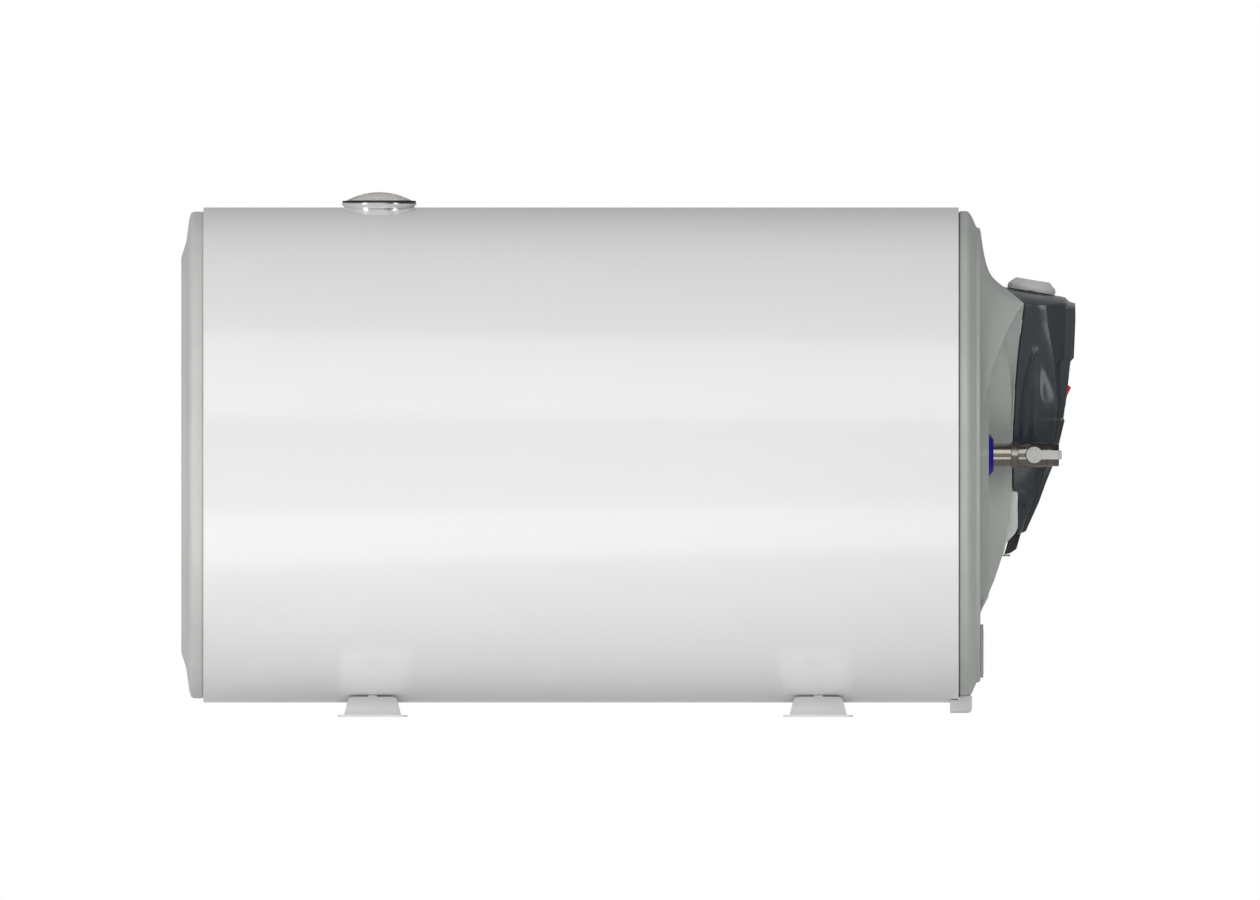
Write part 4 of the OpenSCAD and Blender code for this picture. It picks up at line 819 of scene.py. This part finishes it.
def pipes():
    """The cold pipe is plain up to its valve; the hot one ends in a bare thread."""
    start, end = PIPE_LOW[0], PIPE_HIGH[0]
    bore = 7.9
    section = [(bore, start), (PIPE_R, start), (PIPE_R, end), (bore, end)]
    cold = turned("pipe_cold", eased(section, 0.5, closed=True), along_x(0, -PIPE_Y), segments=96)
    fit_out(cold, "heater", "pipe_metal", "cold_pipe")
    section = [(bore, start), (PIPE_R, start), (PIPE_R, FACE_X + 12.6), (PIPE_R - 1, FACE_X + 12.9),
               (PIPE_R - 1, FACE_X + 14.3), (PIPE_R, FACE_X + 14.9)]
    crest, root = PIPE_R - 0.05, PIPE_R - 0.85
    x = FACE_X + 15.6
    while x + THREAD_PITCH < end - 0.8:
        section += [(crest, x), (root, x + THREAD_PITCH * 0.45), (root, x + THREAD_PITCH * 0.55),
                    (crest, x + THREAD_PITCH)]
        x += THREAD_PITCH
    section += [(PIPE_R - 0.9, end), (bore + 0.5, end), (bore, end - 0.6)]
    hot = turned("pipe_hot", section, along_x(0, PIPE_Y), segments=96, crease=50)
    fit_out(hot, "heater", "pipe_metal", "hot_pipe")


def union_nut():
    """Hexagon with turned-off corners round the pipe; a scale of None is a ring of the bore."""
    low, high = box_mm("valve_union_nut")
    flats, bore = 24.2, PIPE_R + 0.02
    start, end = low[0], high[0]
    corners = [on_circle(flats / math.sqrt(3), 30 + 60 * k) for k in range(6)]
    outline = eased(corners, 0.4, steps=2, closed=True)
    place = along_x(0, -PIPE_Y) @ Matrix.Rotation(math.radians(60), 4, "Z")
    rings = []
    for x, scale in ((start, None), (start, 0.96), (start + 0.4, 1.0),
                     (end - 0.4, 1.0), (end, 0.96), (end, None)):
        ring = []
        for px, py in outline:
            length = math.hypot(px, py)
            r = bore if scale is None else min(length, 13.55 if scale < 1 else 14.0) * scale
            ring.append((px / length * r, py / length * r, x))
        rings.append(ring)
    obj = piece("union_nut", *woven(rings, wrap_rows=True, wrap_columns=True), crease=16, place=place)
    fit_out(obj, "heater", "nickel", "valve_union_nut")


def valve():
    """Barrel with a swelling round the ball, the stem's boss, and the end piece with its inner thread."""
    low, high = box_mm("valve_body")
    start, joint_x = low[0], high[0]
    end = box_mm("valve_end")[1][0]
    outer_r = 10.35
    section = [(9.6, start), (outer_r, start + 0.5), (outer_r, BALL_X - 10.5), (10.7, BALL_X - 7.5),
               (11.4, BALL_X - 4), (11.4, BALL_X + 4), (10.7, BALL_X + 7.5), (outer_r, BALL_X + 10.5),
               (outer_r, joint_x - 0.4), (9.9, joint_x), (8.7, joint_x), (8.7, BALL_X + 3),
               (7.0, BALL_X - 9), (7.0, start)]
    barrel = turned("valve_barrel", eased(section, 1.2, closed=True), along_x(0, -PIPE_Y))
    fit_out(barrel, "heater", "nickel", "valve_body")
    section = eased([(3.1, 6.0), (8.1, 6.0), (8.1, 14.8), (7.3, 15.6), (3.1, 15.6)], 0.5, closed=True)
    boss = turned("valve_boss", section, towards_viewer(BALL_X, -PIPE_Y, AXIS_Z), segments=96)
    fit_out(boss, "heater", "nickel")
    section = [(8.75, joint_x - 2), (9.9, joint_x + 0.02), (outer_r, joint_x + 0.5), (outer_r, end - 0.6),
               (9.85, end), (9.5, end)]
    x = end - 0.7
    while x > end - 9.2:
        section += [(9.3, x), (8.75, x - 0.8), (9.3, x - 1.6)]
        x -= THREAD_PITCH
    section += [(9.0, end - 10), (6.0, end - 10.2), (6.0, joint_x - 2)]
    tail = turned("valve_tail", section, along_x(0, -PIPE_Y), crease=40)
    fit_out(tail, "heater", "nickel", "valve_end")


def lever():
    """Flat blade with a round hub over the ball, a turned-up tip and three small marks."""
    _, high = box_mm("valve_lever")
    hub_r, neck_angle, hub_steps, thick = 7.4, 33.2, 40, 2.4
    tip = high[0] - BALL_X
    outline = [on_circle(hub_r, neck_angle + (360 - 2 * neck_angle) * k / hub_steps)
               for k in range(hub_steps + 1)]
    outline += [(tip, -4.05), (tip, 4.05)]
    place = towards_viewer(BALL_X, high[1], AXIS_Z)
    blade = slab("lever_blade", outline, 0, thick, place, round_off=0.45)
    fit_out(blade, "valve_lever", "lever_grey", "valve_lever")
    outline = [(tip - 1.6, -4.0), (tip - 0.02, -4.0), (tip - 0.02, 4.0), (tip - 1.6, 4.0)]
    lip = slab("lever_lip", outline, thick - 0.6, thick + 2.4, place, round_off=0.4)
    fit_out(lip, "valve_lever", "lever_grey")
    section = [(0.05, thick - 0.3), (0.7, thick - 0.3), (0.6, thick + 0.12), (0.05, thick + 0.15)]
    for number, degrees in enumerate((70, 110, 270)):
        spot = place @ upright(*on_circle(5.4, degrees), 0)
        fit_out(turned(f"lever_mark_{number}", section, spot, segments=20), "valve_lever", "steel")


# ---------------------------------------------------------------- thermometer
def thermometer():
    """Bezel, black ring, domed clear lens, and the marks on the dial's card."""
    place = upright(DIAL_X, 0, JACKET_TOP)
    rim = eased([(27.6, 3.2), (27.6, -6.5), (31.3, -6.5), (31.5, -0.4), (32.2, 0.9), (33.5, 2.2), (33.9, 3.0),
                 (33.9, 4.1), (33.5, 4.5), (28.6, 4.5), (28.5, 3.5)], 0.5, closed=True)
    fit_out(turned("dial_bezel", rim, place), "heater", "bezel_metal", "thermometer_bezel")
    ring = eased([(28.5, 4.5), (33.0, 4.5), (33.5, 4.9), (33.4, 5.9), (32.8, 6.1), (28.5, 6.1)], 0.2,
                 closed=True)
    fit_out(turned("dial_gasket", ring, place), "heater", "rubber_black", "thermometer_gasket")
    dome = []
    rise, seat, r, steps = 7.8, 6.1, 30.0, 19
    ball = (r * r + rise * rise) / (2 * rise)
    for k in range(steps + 1):
        a = math.asin(r / ball) * (1 - k / steps)
        dome.append((max(0.05, ball * math.sin(a)), seat + ball * math.cos(a) - (ball - rise)))
    hollow = [(max(0.05, across * 0.955), height - 1.5) for across, height in reversed(dome[1:])]
    lens = turned("dial_lens", [(30, seat)] + dome + hollow + [(28.2, seat)], place)
    lens.visible_shadow = False
    fit_out(lens, "heater", "lens_clear", "thermometer_lens")
    card, outer = 4.02, 25.2
    for number in range(25):
        length, width = (4.6, 0.9) if number % 4 == 0 else (2.6, 0.45)
        inner, half = outer - length, width / 2
        outline = [(inner, -half), (outer, -half), (outer, half), (inner, half)]
        spot = place @ Matrix.Rotation(math.radians(270 - 10 * number), 4, "Z")
        mark = slab(f"dial_mark_{number:02d}", outline, card, card + 0.12, spot, round_off=0.04, steps=1)
        slot = "hot_red" if number > 19 else "cold_blue" if number < 5 else "black_plastic"
        fit_out(mark, "heater", slot)


# ---------------------------------------------------------------- plates and feet
def blank_plate():
    """Plain plate with a bright panel inside its border."""
    low, high = box_mm("rating_plate")
    half, z0, z1 = high[1], low[2], high[2]
    border = 3
    outline = eased([(-half, z0), (half, z0), (half, z1), (-half, z1)], 3.0, closed=True)
    place = Matrix.Rotation(QUARTER, 4, "Z") @ Matrix.Rotation(QUARTER, 4, "X")
    plate = slab("blank_plate", outline, low[0], high[0], place, round_off=0.7)
    fit_out(plate, "heater", "plate_grey", "rating_plate")
    outline = eased([(-half + border, z0 + border), (half - border, z0 + border),
                     (half - border, z1 - border), (-half + border, z1 - border)], 2.0, closed=True)
    panel = slab("blank_plate_panel", outline, high[0] - 0.3, high[0] + 0.25, place, round_off=0.2, steps=2)
    fit_out(panel, "heater", "bezel_metal")


def feet():
    """Brackets, spacer, outlet block and hood base keep their CAD shape, with softer edges."""
    for node in ("wall_bracket_left", "wall_bracket_right"):
        soften(node, 0.5)
    soften("wall_spacer", 0.8)
    soften("cable_gland", 0.5)
    soften("hood_base", 0.5)


jacket()
jacket_seam()
plain_cap()
connection_cap()
pedestal()
hood()
hood_tongue()
latches()
knob()
rocker()
collars()
pipes()
union_nut()
valve()
lever()
thermometer()
blank_plate()
feet()


# ---------------------------------------------------------------- studio
def studio_floor():
    reach = 4.0
    rows = [[(x / MM, y / MM, -0.4) for x in (-reach, 0, reach)] for y in (-reach, 0, reach)]
    floor = piece("floor", *woven(rows))
    material = bpy.data.materials.new("pale floor")
    material.use_nodes = True
    b = Bench(material.node_tree)
    skin = material.node_tree.nodes["Principled BSDF"]
    mottling = b.noise(b.node("ShaderNodeTexCoord").outputs["Object"], 3.0, 4.0)
    b.join(b.blend(mottling, (0.8, 0.8, 0.8, 1), (0.84, 0.84, 0.84, 1)), skin.inputs["Base Color"])
    skin.inputs["Roughness"].default_value = 0.7
    floor.data.materials.append(material)
    floor.visible_glossy = False


def studio_sky(left, right, mirrored):
    """White where the camera looks past the object; softer light, brighter from the left, on the object."""
    world = bpy.data.worlds.new("studio")
    bpy.context.scene.world = world
    world.use_nodes = True
    b = Bench(world.node_tree)
    b.tree.nodes.clear()
    way = b.node("ShaderNodeSeparateXYZ")
    b.join(b.node("ShaderNodeTexCoord").outputs["Generated"], way.inputs[0])
    light = b.spread(way.outputs["X"], -1.0, 1.0, left, right)
    height = b.maths("ABSOLUTE", way.outputs["Z"])
    low_sky = b.spread(height, 0.1, 0.75, mirrored, mirrored * 0.2)
    gloss = b.maths("MULTIPLY", low_sky, b.spread(way.outputs["X"], 0.1, 0.7, 1.0, 0.25))
    path = b.node("ShaderNodeLightPath")
    backgrounds = []
    for strength in (light, gloss, 1.0):
        made = b.node("ShaderNodeBackground")
        b.value(made.inputs["Strength"], strength)
        made.inputs["Color"].default_value = (1, 1, 1, 1)
        backgrounds.append(made.outputs[0])
    shown = backgrounds[0]
    for ray, background in (("Is Glossy Ray", backgrounds[1]), ("Is Camera Ray", backgrounds[2])):
        chooser = b.node("ShaderNodeMixShader")
        b.join(path.outputs[ray], chooser.inputs[0])
        b.join(shown, chooser.inputs[1])
        b.join(background, chooser.inputs[2])
        shown = chooser.outputs[0]
    b.join(shown, b.node("ShaderNodeOutputWorld").inputs[0])


def lamp(name, at, look_at, size, power, spread=180):
    light = bpy.data.lights.new(name, "AREA")
    light.shape = "RECTANGLE"
    light.size, light.size_y = size
    light.energy = power
    light.spread = math.radians(spread)
    obj = bpy.data.objects.new(name, light)
    obj.location = at
    obj.rotation_euler = (Vector(look_at) - Vector(at)).to_track_quat("-Z", "Y").to_euler()
    obj.visible_camera = False
    bpy.context.scene.collection.objects.link(obj)


def studio_camera():
    low, high = Vector(CAD_BOX[0]), Vector(CAD_BOX[1])
    width = high.x - low.x
    data = bpy.data.cameras.new("camera")
    data.type = "ORTHO"
    data.ortho_scale = width * 1.409
    data.dof.use_dof = False
    camera = bpy.data.objects.new("camera", data)
    middle = (low + high) / 2
    camera.location = (middle.x + width * 0.0018, low.y - 3.0, middle.z + width * 0.005)
    camera.rotation_euler = (QUARTER, 0, 0)
    bpy.context.scene.collection.objects.link(camera)
    bpy.context.scene.camera = camera


MIDDLE = (0.0, 0.0, AXIS_Z * MM)
studio_floor()
studio_sky(0.62, 0.26, 0.42)
lamp("overhead softbox", (-0.7, -2.4, 2.1), MIDDLE, (4.4, 2.2), 37)
lamp("side softbox", (-2.6, -2.3, 0.7), MIDDLE, (0.5, 2.0), 12)
lamp("right softbox", (2.6, -2.2, 1.25), (0.4, 0, 0.3), (0.9, 1.6), 14)
lamp("floor strip", (-0.02, -0.41, 0.02), (0, -0.2, 0.18), (1.6, 0.15), 0.37, spread=125)
lamp("floor glow", (0, 0, 0.004), (0, 0, 1), (1.3, 1.0), 0.7)
studio_camera()
bpy.context.scene.view_settings.view_transform = "Standard"
bpy.context.scene.view_settings.look = "None"
